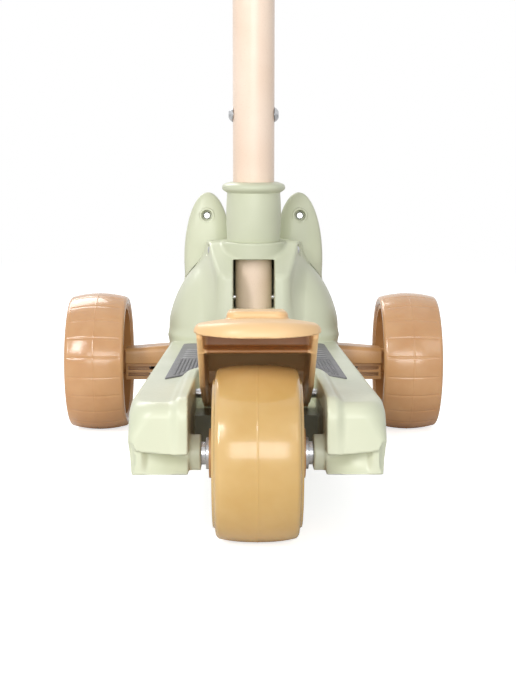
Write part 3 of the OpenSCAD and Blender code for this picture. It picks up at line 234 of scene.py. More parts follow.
# acetal, moulded: slide bushes, dark and slippery
darkAcetal = makeFinish("darkAcetal", {
    "deep": "5C5C60", "pale": "6B6B6E", "rough": (0.39, 0.46), "scuff": 0.12, "relief": 0.02,
    "shader": {"Roughness": 0.42, "IOR": 1.48},
    "noise": {"clouds": (20, 2), "grain": (1.2, 2), "scratches": scratches}})
# glass-filled nylon, textured in the mould: the clamp lever
greyNylon = makeFinish("greyNylon", {
    "deep": "6F6D72", "pale": "7C7A7E", "rough": (0.42, 0.49), "scuff": 0.1, "relief": 0.05,
    "shader": {"Roughness": 0.45, "IOR": 1.53},
    "noise": {"clouds": (25, 2), "grain": (0.8, 2), "scratches": scratches}})

# cast polyurethane: deep gloss over a slow ripple, a little light goes into it
castGloss = {
    "IOR": 1.5, "Subsurface Weight": 0.12, "Subsurface Scale": 0.004, "Subsurface Radius": (1.0, 0.55, 0.25),
    "Coat Weight": 0.25, "Coat Roughness": 0.08}
castNoise = {"clouds": (30, 3), "grain": (3.5, 4), "ripple": (9, 1)}
caramelTyre = makeFinish("castPolyurethaneTyre", {
    "deep": "C49263", "pale": "D0A173", "rough": (0.17, 0.27), "relief": 0.06,
    "shader": {**castGloss, "Roughness": 0.2}, "noise": castNoise})
goldenTyre = makeFinish("goldenPolyurethaneTyre", {
    "deep": "C9A363", "pale": "D2AF74", "rough": (0.14, 0.24), "relief": 0.06,
    "shader": {**castGloss, "Roughness": 0.17}, "noise": castNoise})

# zinc-plated steel, turned: bolts, nuts and the bracket; the lines run along x
platedSteel = makeFinish("zincPlatedSteel", {
    "deep": "B4B5B8", "pale": "CFD0D2", "rough": (0.22, 0.38), "relief": 0.012,
    "shader": {"Roughness": 0.28, "Metallic": 1.0}, "noise": {"clouds": (6, 3), "grain": (0.5, 2, 6, 1, 1)}})
# spring wire, drawn: darker, with lines that run upright
springWire = makeFinish("drawnSpringWire", {
    "deep": "8F9094", "pale": "A9AAAD", "rough": (0.28, 0.44), "relief": 0.012,
    "shader": {"Roughness": 0.34, "Metallic": 1.0}, "noise": {"clouds": (6, 3), "grain": (0.5, 2, 1, 1, 5)}})
# bearing steel, ground: brighter and smoother
bearingSteel = makeFinish("groundBearingSteel", {
    "deep": "BDBEC1", "pale": "D8D9DA", "rough": (0.12, 0.28), "relief": 0.012,
    "shader": {"Roughness": 0.18, "Metallic": 1.0}, "noise": {"clouds": (6, 3), "grain": (0.5, 2, 8, 1, 1)}})

# powder coat on steel tube: cream, satin, with the fine dimples of cured powder
creamCoat = makeFinish("creamPowderCoat", {
    "deep": "F0D6C0", "pale": "F6E0CD", "rough": (0.26, 0.36), "relief": 0.018,
    "shader": {"Roughness": 0.3, "IOR": 1.5, "Coat Weight": 0.15, "Coat Roughness": 0.15},
    "noise": {"clouds": (50, 2), "grain": (0.9, 1)}})
# thermoplastic rubber, moulded: the deck mat; matt, with the tops of its ridges and dots worn smooth and
# painted paler, partly as wear and partly as a painted highlight
greyRubber = makeFinish("greyMatRubber", {
    "deep": "5F5F61", "pale": "6E6C70", "rough": (0.42, 0.58), "relief": 0.05,
    "shader": {"Roughness": 0.5, "IOR": 1.5}, "noise": {"clouds": (18, 3), "grain": (0.7, 2)},
    "worn": {"from": 82.1, "to": 82.8, "tint": "9A9999", "smoother": 0.22}})
# thermoplastic rubber, moulded: the handlebar grips; matt with a soft sheen
caramelRubber = makeFinish("caramelGripRubber", {
    "deep": "BE8C58", "pale": "CC9C68", "rough": (0.48, 0.62), "relief": 0.04,
    "shader": {"Roughness": 0.55, "IOR": 1.5, "Sheen Weight": 0.12},
    "noise": {"clouds": (22, 3), "grain": (0.8, 2)}})

finishes = {
    "green_shell": greenAbs, "grip_mat": greyRubber, "steel_hardware": platedSteel, "spring_steel": springWire,
    "bearing_steel": bearingSteel, "cream_tube": creamCoat, "slide_plastic": darkAcetal,
    "caramel_beam": caramelNylon, "caramel_tyre": caramelTyre, "caramel_hub": caramelNylon,
    "apricot_pedal": apricotPolypropylene, "caramel_grip": caramelRubber, "grey_lever": greyNylon}
slotOf = {}
for name, node in nodes.items():
    slotOf[name] = node.material_slots[0].material.name.split(".")[0]
    node.material_slots[0].material = finishes[slotOf[name]]
nodes["rear_tyre"].material_slots[0].material = goldenTyre
print("materials are on the frame's nodes")


# shapes as fields: signed distances in millimetres, negative inside, joined with rounded edges and then meshed
def bend(t, low, high):  # 0 before low, 1 after high, smooth between
    s = np.clip((t - low) / (high - low), 0, 1)
    return s * s * (3 - 2 * s)


def both(a, b, r):  # overlap, its edge rounded to r
    return np.minimum(-r, np.maximum(a, b)) + np.hypot(np.maximum(r + a, 0), np.maximum(r + b, 0))


def either(a, b, r):  # union, its inner corner filleted to r
    return np.maximum(r, np.minimum(a, b)) - np.hypot(np.maximum(r - a, 0), np.maximum(r - b, 0))


def without(a, b, r):
    return both(a, -b, r)


def melt(a, b, k):  # union with a soft blend k wide
    h = np.maximum(k - np.abs(a - b), 0) / k
    return np.minimum(a, b) - h * h * k / 4


def roundedCorner(a, b, r):  # the overlap of two half planes as an exact distance, corner radius r
    a, b = a + r, b + r
    return np.hypot(np.maximum(a, 0), np.maximum(b, 0)) + np.minimum(np.maximum(a, b), 0) - r


def boxField(p, low, high, r):
    q = [np.abs(p[i] - (low[i] + high[i]) / 2) - (high[i] - low[i]) / 2 + r for i in range(3)]
    outside = np.sqrt(sum(np.maximum(c, 0) ** 2 for c in q))
    return outside + np.minimum(np.maximum(np.maximum(q[0], q[1]), q[2]), 0) - r


def rodField(across, along, radius, low, high, r):  # cylinder: distance from its axis, place along it
    return both(both(across - radius, along - high, r), low - along, r)


def polygonField(x, y, points):  # distance to a closed outline
    d = np.full(x.shape, 1e9)
    inside = np.zeros(x.shape, bool)
    for i, (ax, ay) in enumerate(points):
        bx, by = points[i - 1]
        ex, ey, wx, wy = bx - ax, by - ay, x - ax, y - ay
        t = np.clip((wx * ex + wy * ey) / (ex * ex + ey * ey), 0, 1)
        d = np.minimum(d, (wx - t * ex) ** 2 + (wy - t * ey) ** 2)
        inside ^= ((ay > y) != (by > y)) & (x < (bx - ax) * (y - ay) / ((by - ay) if by != ay else 1e-9) + ax)
    return np.where(inside, -1, 1) * np.sqrt(d)


def slopeField(field, points, e=0.05):  # distance and outward direction at some points
    d = field([points[:, 0], points[:, 1], points[:, 2]])
    g = np.zeros_like(points)
    for i in range(3):
        ahead = [points[:, n] + (e if n == i else 0) for n in range(3)]
        behind = [points[:, n] - (e if n == i else 0) for n in range(3)]
        g[:, i] = (field(ahead) - field(behind)) / (2 * e)
    length = np.maximum(np.linalg.norm(g, axis=1), 0.2)
    return d / length, g / length[:, None]


mesher = {"block": 8, "far": 1e3, "spare": 1.6, "batch": 400, "pulls": 3, "pull": 0.9}


# one point in each cell that the surface passes, drawn onto the surface; only blocks near it are filled
def meshField(field, low, high, step):
    side, batch = mesher["block"], mesher["batch"]
    low, high = np.array(low, float), np.array(high, float)
    blocks = np.ceil((high - low) / (step * side)).astype(int)
    size = blocks * side + 1
    values = np.full(size, mesher["far"], np.float32)
    middles = [low[i] + step * (side * np.arange(blocks[i]) + side // 2) for i in range(3)]
    rough = field([c.ravel() for c in np.meshgrid(*middles, indexing="ij")]).reshape(blocks)
    reach = step * side / 2 * 1.74 * mesher["spare"] + step
    near = np.argwhere(np.abs(rough) < reach)
    for b in np.argwhere(rough <= -reach):
        values[tuple(slice(side * b[i], side * (b[i] + 1) + 1) for i in range(3))] = -mesher["far"]
    local = np.stack(np.meshgrid(*[np.arange(side + 1)] * 3, indexing="ij"), -1).reshape(-1, 3)
    for start in range(0, len(near), batch):
        part = near[start:start + batch]
        index = (part[:, None, :] * side + local[None]).reshape(-1, 3)
        p = low + index * step
        values[index[:, 0], index[:, 1], index[:, 2]] = field([p[:, 0], p[:, 1], p[:, 2]])
    inside = values < 0
    corners = [(i, j, k) for i in (0, 1) for j in (0, 1) for k in (0, 1)]
    cuts = [tuple(slice(c, size[n] - 1 + c) for n, c in enumerate(corner)) for corner in corners]
    count = sum(inside[c].astype(np.int8) for c in cuts)
    cells = np.argwhere((count > 0) & (count < 8))
    total, crossings = np.zeros((len(cells), 3)), np.zeros(len(cells))
    for axis in range(3):
        for other in [(0, 0), (0, 1), (1, 0), (1, 1)]:
            a = np.insert(np.array(other), axis, 0)
            b = np.insert(np.array(other), axis, 1)
            fa = values[tuple((cells + a).T)].astype(float)
            fb = values[tuple((cells + b).T)].astype(float)
            cross = (fa < 0) != (fb < 0)
            t = np.where(cross, fa / np.where(cross, fa - fb, 1), 0)
            total += cross[:, None] * (a + (b - a) * t[:, None])
            crossings += cross
    points = low + step * (cells + total / crossings[:, None])
    for _ in range(mesher["pulls"]):
        d, g = slopeField(field, points)
        points -= np.clip(d, -step, step)[:, None] * g * mesher["pull"]
    lookup = np.full(size, -1, np.int64)
    lookup[tuple(cells.T)] = np.arange(len(cells))
    faces = []
    for axis in range(3):
        a, b = [n for n in range(3) if n != axis]
        first = [slice(1, s - 1) for s in size]
        second = list(first)
        first[axis], second[axis] = slice(0, size[axis] - 1), slice(1, size[axis])
        edges = np.argwhere(inside[tuple(first)] != inside[tuple(second)])
        edges = edges + np.array([0 if n == axis else 1 for n in range(3)])
        quad = []
        for da, db in [(0, 0), (1, 0), (1, 1), (0, 1)]:
            cell = edges.copy()
            cell[:, a] -= da
            cell[:, b] -= db
            quad.append(lookup[tuple(cell.T)])
        quad = np.stack(quad, 1)
        turned = inside[tuple(edges.T)] != (axis == 1)
        quad[turned] = quad[turned][:, ::-1]
        faces.append(quad)
    return points, np.concatenate(faces)[:, ::-1]


def newObject(name, mesh):
    thing = bpy.data.objects.new(name, mesh)
    scene.collection.objects.link(thing)
    return thing


def newMesh(name, points, faces):  # an object from points in millimetres and faces with as many corners each
    mesh = bpy.data.meshes.new(name)
    mesh.vertices.add(len(points))
    mesh.vertices.foreach_set("co", (np.asarray(points) / 1000).astype(np.float32).ravel())
    faces = np.asarray(faces, np.int32)
    mesh.loops.add(faces.size)
    mesh.loops.foreach_set("vertex_index", faces.ravel())
    mesh.polygons.add(len(faces))
    mesh.polygons.foreach_set("loop_start", np.arange(0, faces.size, faces.shape[1], dtype=np.int32))
    mesh.update(calc_edges=True)
    mesh.validate()
    return newObject(name, mesh)


def settle(thing):  # the evaluated mesh takes the place of the live modifiers
    evaluated = thing.evaluated_get(bpy.context.evaluated_depsgraph_get())
    mesh = bpy.data.meshes.new_from_object(evaluated)
    thing.modifiers.clear()
    thing.data = mesh
    return mesh


thinning = {"mostKept": 0.7, "pull": 0.5, "normalStep": 0.25}  # share of triangles, millimetres, millimetres


def fieldPiece(name, field, low, high, step, most, material):  # mesh, thinned where it is flat, smooth normals
    points, faces = meshField(field, low, high, step)
    thing = newMesh(name, points, faces)
    triangles = 2 * len(faces)
    thin = thing.modifiers.new("thin", "DECIMATE")
    thin.ratio = min(thinning["mostKept"], most / triangles)
    mesh = settle(thing)
    spots = np.empty(len(mesh.vertices) * 3, np.float32)
    mesh.vertices.foreach_get("co", spots)
    spots = spots.reshape(-1, 3).astype(float) * 1000
    d, g = slopeField(field, spots)
    spots -= np.clip(d, -thinning["pull"], thinning["pull"])[:, None] * g
    mesh.vertices.foreach_set("co", (spots / 1000).astype(np.float32).ravel())
    mesh.update()
    d, g = slopeField(field, spots, thinning["normalStep"])
    mesh.normals_split_custom_set_from_vertices(g / np.maximum(np.linalg.norm(g, axis=1), 1e-6)[:, None])
    mesh.materials.clear()
    mesh.materials.append(material)
    print(name, "has", len(mesh.polygons), "faces, from", triangles)
    return thing


fine = 1.0

# front body behind the seam, neck and deck: one moulding, 3 mm walls with ribs under them
deckShape = {
    "halfWidth": 71.2, "tail": -237, "top": 81, "bottom": 41, "wall": 3, "seam": 206, "deckFront": 190,
    "taper": 0.09, "taperTop": 60, "corner": 4, "cornerMore": 12, "cornerRise": (56, 80),
    "edge": 4, "edgeMore": 5, "edgeRise": (205, 232),
    "domeHalf": 75, "domeBack": 68, "domeHeight": 86,
    "neckTop": 166, "neckHalf": 42, "neckRear": 132, "neckFront": 203, "stemY": 172, "draft": 0.03,
    "cheekFrom": 176, "ringRadius": 27, "ringTall": 15,
    "wellHalf": 38, "wellRound": -98, "floorFrom": -156, "floor": 63, "beadWidth": 7, "beadHeight": 3,
    "lip": 52.6, "lipArch": 1.6, "lipMiddle": 42, "lipSpan": 22, "lipRear": 234.5, "lipDepth": 9,
    "scoop": (71.8, -240, 49.5), "scoopHalf": (5.8, 9.5, 12.6),
    "shelf": 105, "tongueHalf": 52, "tongueFront": 218, "tongueTop": 109,
    "windowHalf": 17.3, "windowLow": 109, "windowHigh": 150.5,
    "axleY": -215, "axleZ": 50, "axleBoss": 14, "axleCollar": 10.5, "axleBore": 4.1, "axleRecess": 9.5,
    "hingeY": -120, "hingeZ": 72, "hingeBoss": 7, "hingeBore": 3,
    "stemBore": 15.7, "boltY": 172.56, "boltZ": 158.02, "boltPocket": 4.7,
    "archMiddle": 205, "archHalf": 30, "archTop": 98, "archCorner": 18,
    "lengthRibs": (46, 23, 0), "crossRibs": (-190, -155, -120, -54, -16.8, 20.4, 57.6, 94.8, 132),
    "ribHalf": 1.1}
# a point of the stem's axis at the neck, and the axis's lean of 4 degrees
stemLine = {"y": 172, "z": 166, "cos": 0.997564, "sin": 0.069756}


def stemPlace(y, z):  # along and across the leaning stem
    s, dy, dz = stemLine, y - stemLine["y"], z - stemLine["z"]
    return -s["sin"] * dy + s["cos"] * dz, s["cos"] * dy + s["sin"] * dz


def archField(y, z):
    s = deckShape
    return roundedCorner(np.abs(y - s["archMiddle"]) - s["archHalf"], z - s["archTop"], s["archCorner"])


def deckOutside(x, y, z):
    s = deckShape
    corner = s["corner"] + s["cornerMore"] * bend(z, *s["cornerRise"])
    half = s["halfWidth"] - s["taper"] * np.maximum(s["taperTop"] - z, 0)
    edge = s["edge"] + s["edgeMore"] * bend(-y, *s["edgeRise"])
    tail = both(roundedCorner(x - half, s["tail"] - y, corner), z - s["top"], edge)
    tail = both(tail, y - s["deckFront"], 3)
    dx, dy = x / s["domeHalf"], np.maximum(s["seam"] - y, 0) / s["domeBack"]
    dz = np.maximum(z - s["top"], 0) / s["domeHeight"]
    g = np.maximum(np.cbrt(dx ** 3 + dy ** 3), 1e-3)
    f = np.maximum(np.hypot(g, dz), 0.05)
    slope = np.sqrt((dx * dx / (g * f) / s["domeHalf"]) ** 2 + (dy * dy / (g * f) / s["domeBack"]) ** 2
                    + (dz / f / s["domeHeight"]) ** 2)
    dome = (f - 1) / np.maximum(slope, 0.006)
    draft = s["draft"] * (s["neckTop"] - z)
    side = x - s["neckHalf"] - draft
    diagonal = 0.953 * side - 0.3032 * (y - s["cheekFrom"])
    plan = both(both(side, diagonal, 10), s["neckRear"] - y - 0.8 * draft, 6)
    shoulder = both(0.8192 * (z - s["neckTop"]) - 0.5734 * (y - s["stemY"]), z - s["neckTop"], 4)
    neck = both(both(plan, shoulder, 3), y - s["neckFront"], 2)
    u, w = stemPlace(y, z)
    ring = rodField(np.hypot(x, w), u, s["ringRadius"], -s["ringTall"], 0, 1.4)
    return either(either(tail, dome, 1 + 12 * bend(z, 78, 88)), either(neck, ring, 2.5), 11)


def wellPlan(x, y):  # distance to the wheel well's outline, in plan
    s = deckShape
    return np.where(y > s["wellRound"], np.hypot(x, y - s["wellRound"]), x) - s["wellHalf"]


def deckField(p):
    s = deckShape
    x, y, z = np.abs(p[0]), p[1], p[2]
    outside = deckOutside(x, y, z)
    well = wellPlan(x, y)
    raised = both(outside - s["beadHeight"] * bend(z, 55, 72), well - s["beadWidth"], 2.9)
    body = either(outside, raised, 4)
    # the hollow under the tail's lip and the scoop in its corner
    lip = s["lip"] + s["lipArch"] * ((x - s["lipMiddle"]) / s["lipSpan"]) ** 2
    depth = (s["lipDepth"] - 6 * bend(x, 42, 64)) * (1 - bend(x, 60, 64.5))
    t = np.clip((z - s["bottom"]) / (lip - s["bottom"]), 0, 1)
    body = without(body, np.maximum(z - lip, y + s["lipRear"] - depth * (1 - (1 - t) ** 2)), 0.8)
    scoop = np.sqrt(sum(((c - m) / h) ** 2 for c, m, h in zip((x, y, z), s["scoop"], s["scoopHalf"])))
    body = without(body, 5 * (scoop - 1), 0.3)
    # wheel well and hollow underside
    body = without(body, np.maximum(well, np.minimum(y - s["floorFrom"], s["floor"] - z)), 1.2)
    hollow = np.maximum(outside + s["wall"], np.minimum(s["wall"] - well, np.maximum(z - 60, -153 - y)))
    hollow = np.maximum(np.maximum(hollow, z - s["shelf"]), -222 - y - 14 * bend(z, 55, 60))
    ribs = np.full(x.shape, 1e3)
    for place in s["lengthRibs"]:
        ribs = np.minimum(ribs, np.maximum(np.abs(x - place), np.maximum(-156 - y, y - 132)) - s["ribHalf"])
    for place in s["crossRibs"]:
        ribs = np.minimum(ribs, np.abs(y - place) - s["ribHalf"])
    hollow = np.maximum(hollow, -np.maximum(ribs, 44 - z))
    axle = np.hypot(y - s["axleY"], z - s["axleZ"])
    hinge = np.hypot(y - s["hingeY"], z - s["hingeZ"])
    hollow = np.maximum(hollow, -rodField(axle, x, s["axleBoss"], 38, 66, 1))
    hollow = np.maximum(hollow, -rodField(hinge, x, s["hingeBoss"], 38, 48, 1))
    body = without(body, hollow, 0.7)
    body = either(body, rodField(axle, x, s["axleCollar"], 31.5, 50, 0.8), 1.5)
    body = without(body, rodField(axle, x, s["axleBore"], 20, 90, 0.1), 0.4)
    body = without(body, rodField(axle, x, s["axleRecess"], 64, 90, 0.1), 0.8)
    body = without(body, rodField(hinge, x, s["hingeBore"], 20, 46, 0.1), 0.4)
    # window for the post, bores along the stem, and the pockets of the bolt across it
    body = without(body, boxField([x, y, z], (-s["windowHalf"], 90, s["windowLow"]),
                                  (s["windowHalf"], 202, s["windowHigh"]), 1.2), 0.8)
    u, w = stemPlace(y, z)
    body = without(body, rodField(np.hypot(x, w), u, s["stemBore"], -64, 9, 0.2), 0.5)
    bolt = np.hypot(y - s["boltY"], z - s["boltZ"])
    body = without(body, rodField(bolt, x, s["boltPocket"], 37, 60, 0.2), 0.5)
    body = without(body, archField(y, z), 1.0)
    body = both(body, y - s["seam"], 0.5)
    tongue = boxField([x, y, z], (-s["tongueHalf"], 198, s["shelf"]),
                      (s["tongueHalf"], s["tongueFront"], s["tongueTop"]), 0.6)
    body = either(body, tongue, 1.0)
    return both(body, s["bottom"] - z, 0.8)


deckPiece = fieldPiece("deckMoulding", deckField, (-78, -244, 37), (78, 222, 172), 1.15 * fine, 190000,
                       greenAbs)
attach(deckPiece, "deck")
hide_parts("deck_shell")

# front cover: the front half of the body, 2.5 mm walls, with two plain lobes; shells close the lobes' backs
coverShape = {
    "middle": 89, "depth": 50, "wall": 2.5, "lobeX": 40, "lobeZ": 150, "lobeHalf": 21.2, "lobeTall": 58.5,
    "lobeSeam": 216, "lobeFront": 15, "lobeBack": 9.5, "screwX": 40.9, "screwZ": 188,
    "screwPost": 4.5, "screwRecess": 6.0, "screwSeat": 6.6, "screwHead": 4.7, "screwBore": 2.1,
    "ledge": ((34, 206.1, 109), (66, 219, 112))}
coverOutline = [(deckShape["domeHalf"] * math.cos(t), deckShape["top"] + deckShape["domeHeight"] * math.sin(t))
                for t in np.linspace(math.pi / 2, 0, 40)]
coverOutline += [(deckShape["domeHalf"], z) for z in np.linspace(76, 58, 5)]
coverOutline += [(63 + 12 * math.cos(t), 56 + 12 * math.sin(t)) for t in np.linspace(0, -math.pi / 2, 9)]
coverOutline += [(x, 44) for x in np.linspace(52, 0, 8)]
coverAngles = np.array([math.atan2(z - coverShape["middle"], x) for x, z in coverOutline])[::-1]
coverRadii = np.array([math.hypot(x, z - coverShape["middle"]) for x, z in coverOutline])[::-1]


def coverDome(x, y, z, bulge=True):
    s = coverShape
    out = np.hypot(x, z - s["middle"])
    radius = np.interp(np.arctan2(z - s["middle"], x), coverAngles, coverRadii)
    v = np.maximum(y - deckShape["seam"], 0) / s["depth"] if bulge else 0 * y
    share = out / radius
    slope = np.hypot(2.5 * share ** 1.5 / radius, 2 * v / s["depth"])
    return (share ** 2.5 + v * v - 1) / np.maximum(slope, 0.012)


def lobeField(x, y, z, thickness):
    s = coverShape
    a, b = (x - s["lobeX"]) / s["lobeHalf"], (z - s["lobeZ"]) / s["lobeTall"]
    e = np.maximum(np.hypot(a, b), 1e-3)
    k = np.abs(y - s["lobeSeam"]) / thickness
    f = np.maximum((e ** 2.4 + k ** 2.4) ** (1 / 2.4), 0.05)
    across = (e / f) ** 1.4 * np.hypot(a / s["lobeHalf"], b / s["lobeTall"]) / e
    return (f - 1) / np.maximum(np.hypot(across, (k / f) ** 1.4 / thickness), 0.01)


def coverField(p):
    s = coverShape
    x, y, z = np.abs(p[0]), p[1], p[2]
    dome, lobe = coverDome(x, y, z), lobeField(x, y, z, s["lobeFront"])
    outside = melt(both(dome, deckShape["seam"] + 0.05 - y, 0.3), both(lobe, s["lobeSeam"] + 0.05 - y, 0.3), 6)
    body = without(outside, melt(dome, lobe, 6) + s["wall"], 0.5)
    post = np.hypot(x - s["screwX"], z - s["screwZ"])
    body = either(body, rodField(post, y, s["screwPost"], 216, 226, 0.4), 0.8)
    body = either(body, boxField([x, y, z], *s["ledge"], 0.5), 0.6)
    return without(body, archField(y, z), 1.0)


def lobeBackField(p):
    s = coverShape
    x, y, z = np.abs(p[0]), p[1], p[2]
    lobe = lobeField(x, y, z, s["lobeBack"])
    shell = without(both(lobe, y - s["lobeSeam"], 0.3), np.maximum(lobe + s["wall"], y - 216.5), 0.4)
    shell = both(shell, 0.3 - coverDome(x, y, z, False), 0.4)
    screw = np.hypot(x - s["screwX"], z - s["screwZ"])
    shell = without(shell, rodField(screw, y, s["screwRecess"], 200, 211, 0.2), 0.8)
    seat = without(rodField(screw, y, s["screwSeat"], 207.8, 215.7, 0.5),
                   rodField(screw, y, s["screwHead"], 200, 214, 0.2), 0.5)
    return without(either(shell, seat, 0.5), rodField(screw, y, s["screwBore"], 200, 230, 0.1), 0.2)


coverPiece = fieldPiece("frontCover", coverField, (-78, 203, 38), (78, 260, 214), 1.0 * fine, 150000, greenAbs)
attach(coverPiece, "deck")
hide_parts("front_cover")
for side, word in ((-1, "left"), (1, "right")):
    low = (-64, 203, 128) if side < 0 else (16, 203, 128)
    piece = fieldPiece("lobeBack" + word.capitalize(), lobeBackField, low, (low[0] + 48, 219, 212), 0.7 * fine,
                       60000, greenAbs)
    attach(piece, "deck")
    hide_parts("lobe_back_" + word)
print("deck and front body are made")


# brake pedal: a domed plate over two side walls, 5 mm thick, with the rubbing shoe and its ribs inside
pedalShape = {
    "half": 34.8, "rear": -260, "bow": 19, "edge": 7, "arc": 330, "arcTop": 127.3, "arcMiddle": -236,
    "plate": 5, "drop": 3.6, "low": 118.3, "lift": 1.0,
    "wallOut": 33.2, "wallIn": 29.8, "wallTop": 119.5, "rearWall": 4.5,
    "hinge": (-120, 72), "hingeRadius": 8.5, "hingeBore": 3.05, "axle": (-215, 50),
    "shoe": (58, 60.5), "shoeFrom": -225, "shoeTo": -201,
    "ribs": (-214, -199, -184), "ribHalf": 1.1, "ribLow": 109.5,
    "padHalf": 17, "padFrom": -229, "padTo": -173, "padTop": 131, "padCorner": 7, "padSlope": 0.036,
    "padLow": 122,
    "springBar": ((-32, -140, 80), (32, -136, 88)), "springRoom": ((-22, -131, 60), (22, -95, 90))}
# drop: how far the top falls to its sides; lift: how far the underside of the rear edge rises to them
pedalTop = [(y, pedalShape["arcTop"] - pedalShape["arc"] + math.sqrt(
    pedalShape["arc"] ** 2 - (y - pedalShape["arcMiddle"]) ** 2)) for y in np.linspace(-300, -173, 16)]
pedalTop += [(pedalShape["hinge"][0] + pedalShape["hingeRadius"] * math.cos(t),
              pedalShape["hinge"][1] + pedalShape["hingeRadius"] * math.sin(t))
             for t in np.radians(np.linspace(48, -20, 6))]
pedalTop += [(-111, 40), (-300, 40)]
pedalUnder = [
    (-300, 150), (-90, 150), (-100, 72), (-115.8, 64.6), (-146, 69), (-190, 84), (-238, 116), (-300, 116)]


def pedalField(p):
    s = pedalShape
    x, y, z = np.abs(p[0]), p[1], p[2]
    share = np.minimum(x, 40) / s["half"]
    top = polygonField(y, z + s["drop"] * share ** 2.2, pedalTop)
    rear = s["rear"] + s["bow"] * share ** 2.6
    body = both(both(top, rear - y, s["edge"]), x - s["half"], 3)
    body = both(body, polygonField(y, z, pedalUnder), 0.6)
    body = without(body, np.maximum(z - s["low"] - s["lift"] * share ** 2, y + 239), 0.4)
    body = without(body, np.maximum(s["wallOut"] - x, z - s["wallTop"]), 1.2)
    cavity = np.maximum(np.maximum(top + s["plate"], x - s["wallIn"]), rear + s["rearWall"] - y)
    body = without(body, cavity, 1.2)
    middle, reach = (s["padFrom"] + s["padTo"]) / 2, (s["padTo"] - s["padFrom"]) / 2
    padTop = z - s["padTop"] + s["padSlope"] * (y - s["padFrom"])
    pad = both(roundedCorner(x - s["padHalf"], np.abs(y - middle) - reach, s["padCorner"]), padTop, 2.4)
    body = either(body, np.maximum(pad, s["padLow"] - z), 1.6)
    axle = np.hypot(y - s["axle"][0], z - s["axle"][1])
    ends = np.maximum(s["shoeFrom"] - y, y - s["shoeTo"])
    shoe = np.maximum(np.maximum(s["shoe"][0] - axle, axle - s["shoe"][1]), ends)
    shoe = np.maximum(np.maximum(shoe, x - s["wallOut"] + 1), 60 - z)
    ribs = np.full(x.shape, 1e3)
    for place in s["ribs"]:
        ribs = np.minimum(ribs, np.abs(y - place) - s["ribHalf"])
    ribs = np.maximum(np.maximum(ribs, s["ribLow"] - z), np.maximum(top + 1, x - s["wallOut"] + 1))
    body = either(body, np.maximum(shoe, top + 1), 1.0)
    body = either(body, ribs, 1.2)
    body = either(body, boxField([x, y, z], *s["springBar"], 0.6), 0.8)
    hinge = np.hypot(y - s["hinge"][0], z - s["hinge"][1])
    body = either(body, rodField(hinge, x, s["hingeRadius"], 22, s["wallOut"], 0.6), 0.8)
    body = without(body, boxField([x, y, z], *s["springRoom"], 0.5), 0.6)
    return without(body, rodField(hinge, x, s["hingeBore"], -60, 60, 0.1), 0.4)


pedalPiece = fieldPiece("brakePedal", pedalField, (-39, -264, 60), (39, -108, 134), 1.0 * fine, 150000,
                        apricotPolypropylene)
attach(pedalPiece, "pedal")
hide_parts("brake_pedal")


# steps of a tyre's side, out from its half width and from its inner radius
frontRim = [(0, 3.4), (-0.5, 1.4), (-1.8, 0.4), (-3.4, 0)]
rearRim = [(0, 3.6), (0.3, 2.7), (1.2, 2.2), (1.5, 1.8), (1.5, 0.2), (1.2, 0), (-3.4, 0)]


# tyres: turned about the axle, crowned, with the mould's parting line; shallow cross grooves in the front ones
def tyrePiece(name, body, settings):
    half, radius, inner, turned = settings["half"], settings["radius"], settings["inner"], settings["turned"]
    across = np.concatenate([
        np.linspace(-half + turned, -1, 15), [-0.45, -0.2, 0, 0.2, 0.45], np.linspace(1, half - turned, 15)])
    lift = radius - settings["crown"] * np.abs(across / half) ** settings["peak"]
    lift += settings["seam"] * (np.abs(across) < 0.3)
    turn = np.linspace(0, math.pi / 2, 6)[1:]
    edge = float(lift[-1])
    right = [(half - turned + turned * math.sin(t), edge - settings["shoulder"] * (1 - math.cos(t)))
             for t in turn]
    right += [(half + a, inner + b) for a, b in settings["rim"]]
    profile = np.array([(-a, b) for a, b in reversed(right)] + list(zip(across, lift)) + right)
    grooves = settings["grooves"]
    if grooves:
        steps = np.concatenate([np.linspace(0.11, 0.89, 8), [0.95, 0.975, 1.0, 1.025, 1.05]])
        angles = np.concatenate([(i + steps) * 2 * math.pi / grooves for i in range(grooves)])
        dip = settings["groove"] * np.tile([0] * 8 + [0.1, 0.85, 1, 0.85, 0.1], grooves)
    else:
        angles = np.linspace(0, 2 * math.pi, 120, endpoint=False)
        dip = np.zeros(len(angles))
    ends = bend(half - 2.5 - np.abs(profile[:, 0]), 0, 2.5) * (profile[:, 1] > inner + 4)
    grid = profile[None, :, 1] - dip[:, None] * ends[None, :]
    x = np.broadcast_to(profile[None, :, 0] + settings["place"][0], grid.shape)
    y = settings["place"][1] + grid * np.sin(angles)[:, None]
    z = settings["place"][2] + grid * np.cos(angles)[:, None]
    points = np.stack([x, y, z], -1).reshape(-1, 3)
    rows, columns = grid.shape
    i, j = np.meshgrid(np.arange(rows), np.arange(columns), indexing="ij")
    ahead, beside = (i + 1) % rows, (j + 1) % columns
    faces = np.stack([i * columns + j, i * columns + beside, ahead * columns + beside, ahead * columns + j], -1)
    piece = newMesh(name, points, faces.reshape(-1, 4)[:, ::-1])
    piece.data.shade_smooth()
    piece.data.materials.append(settings["material"])
    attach(piece, body)
    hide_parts(settings["node"])


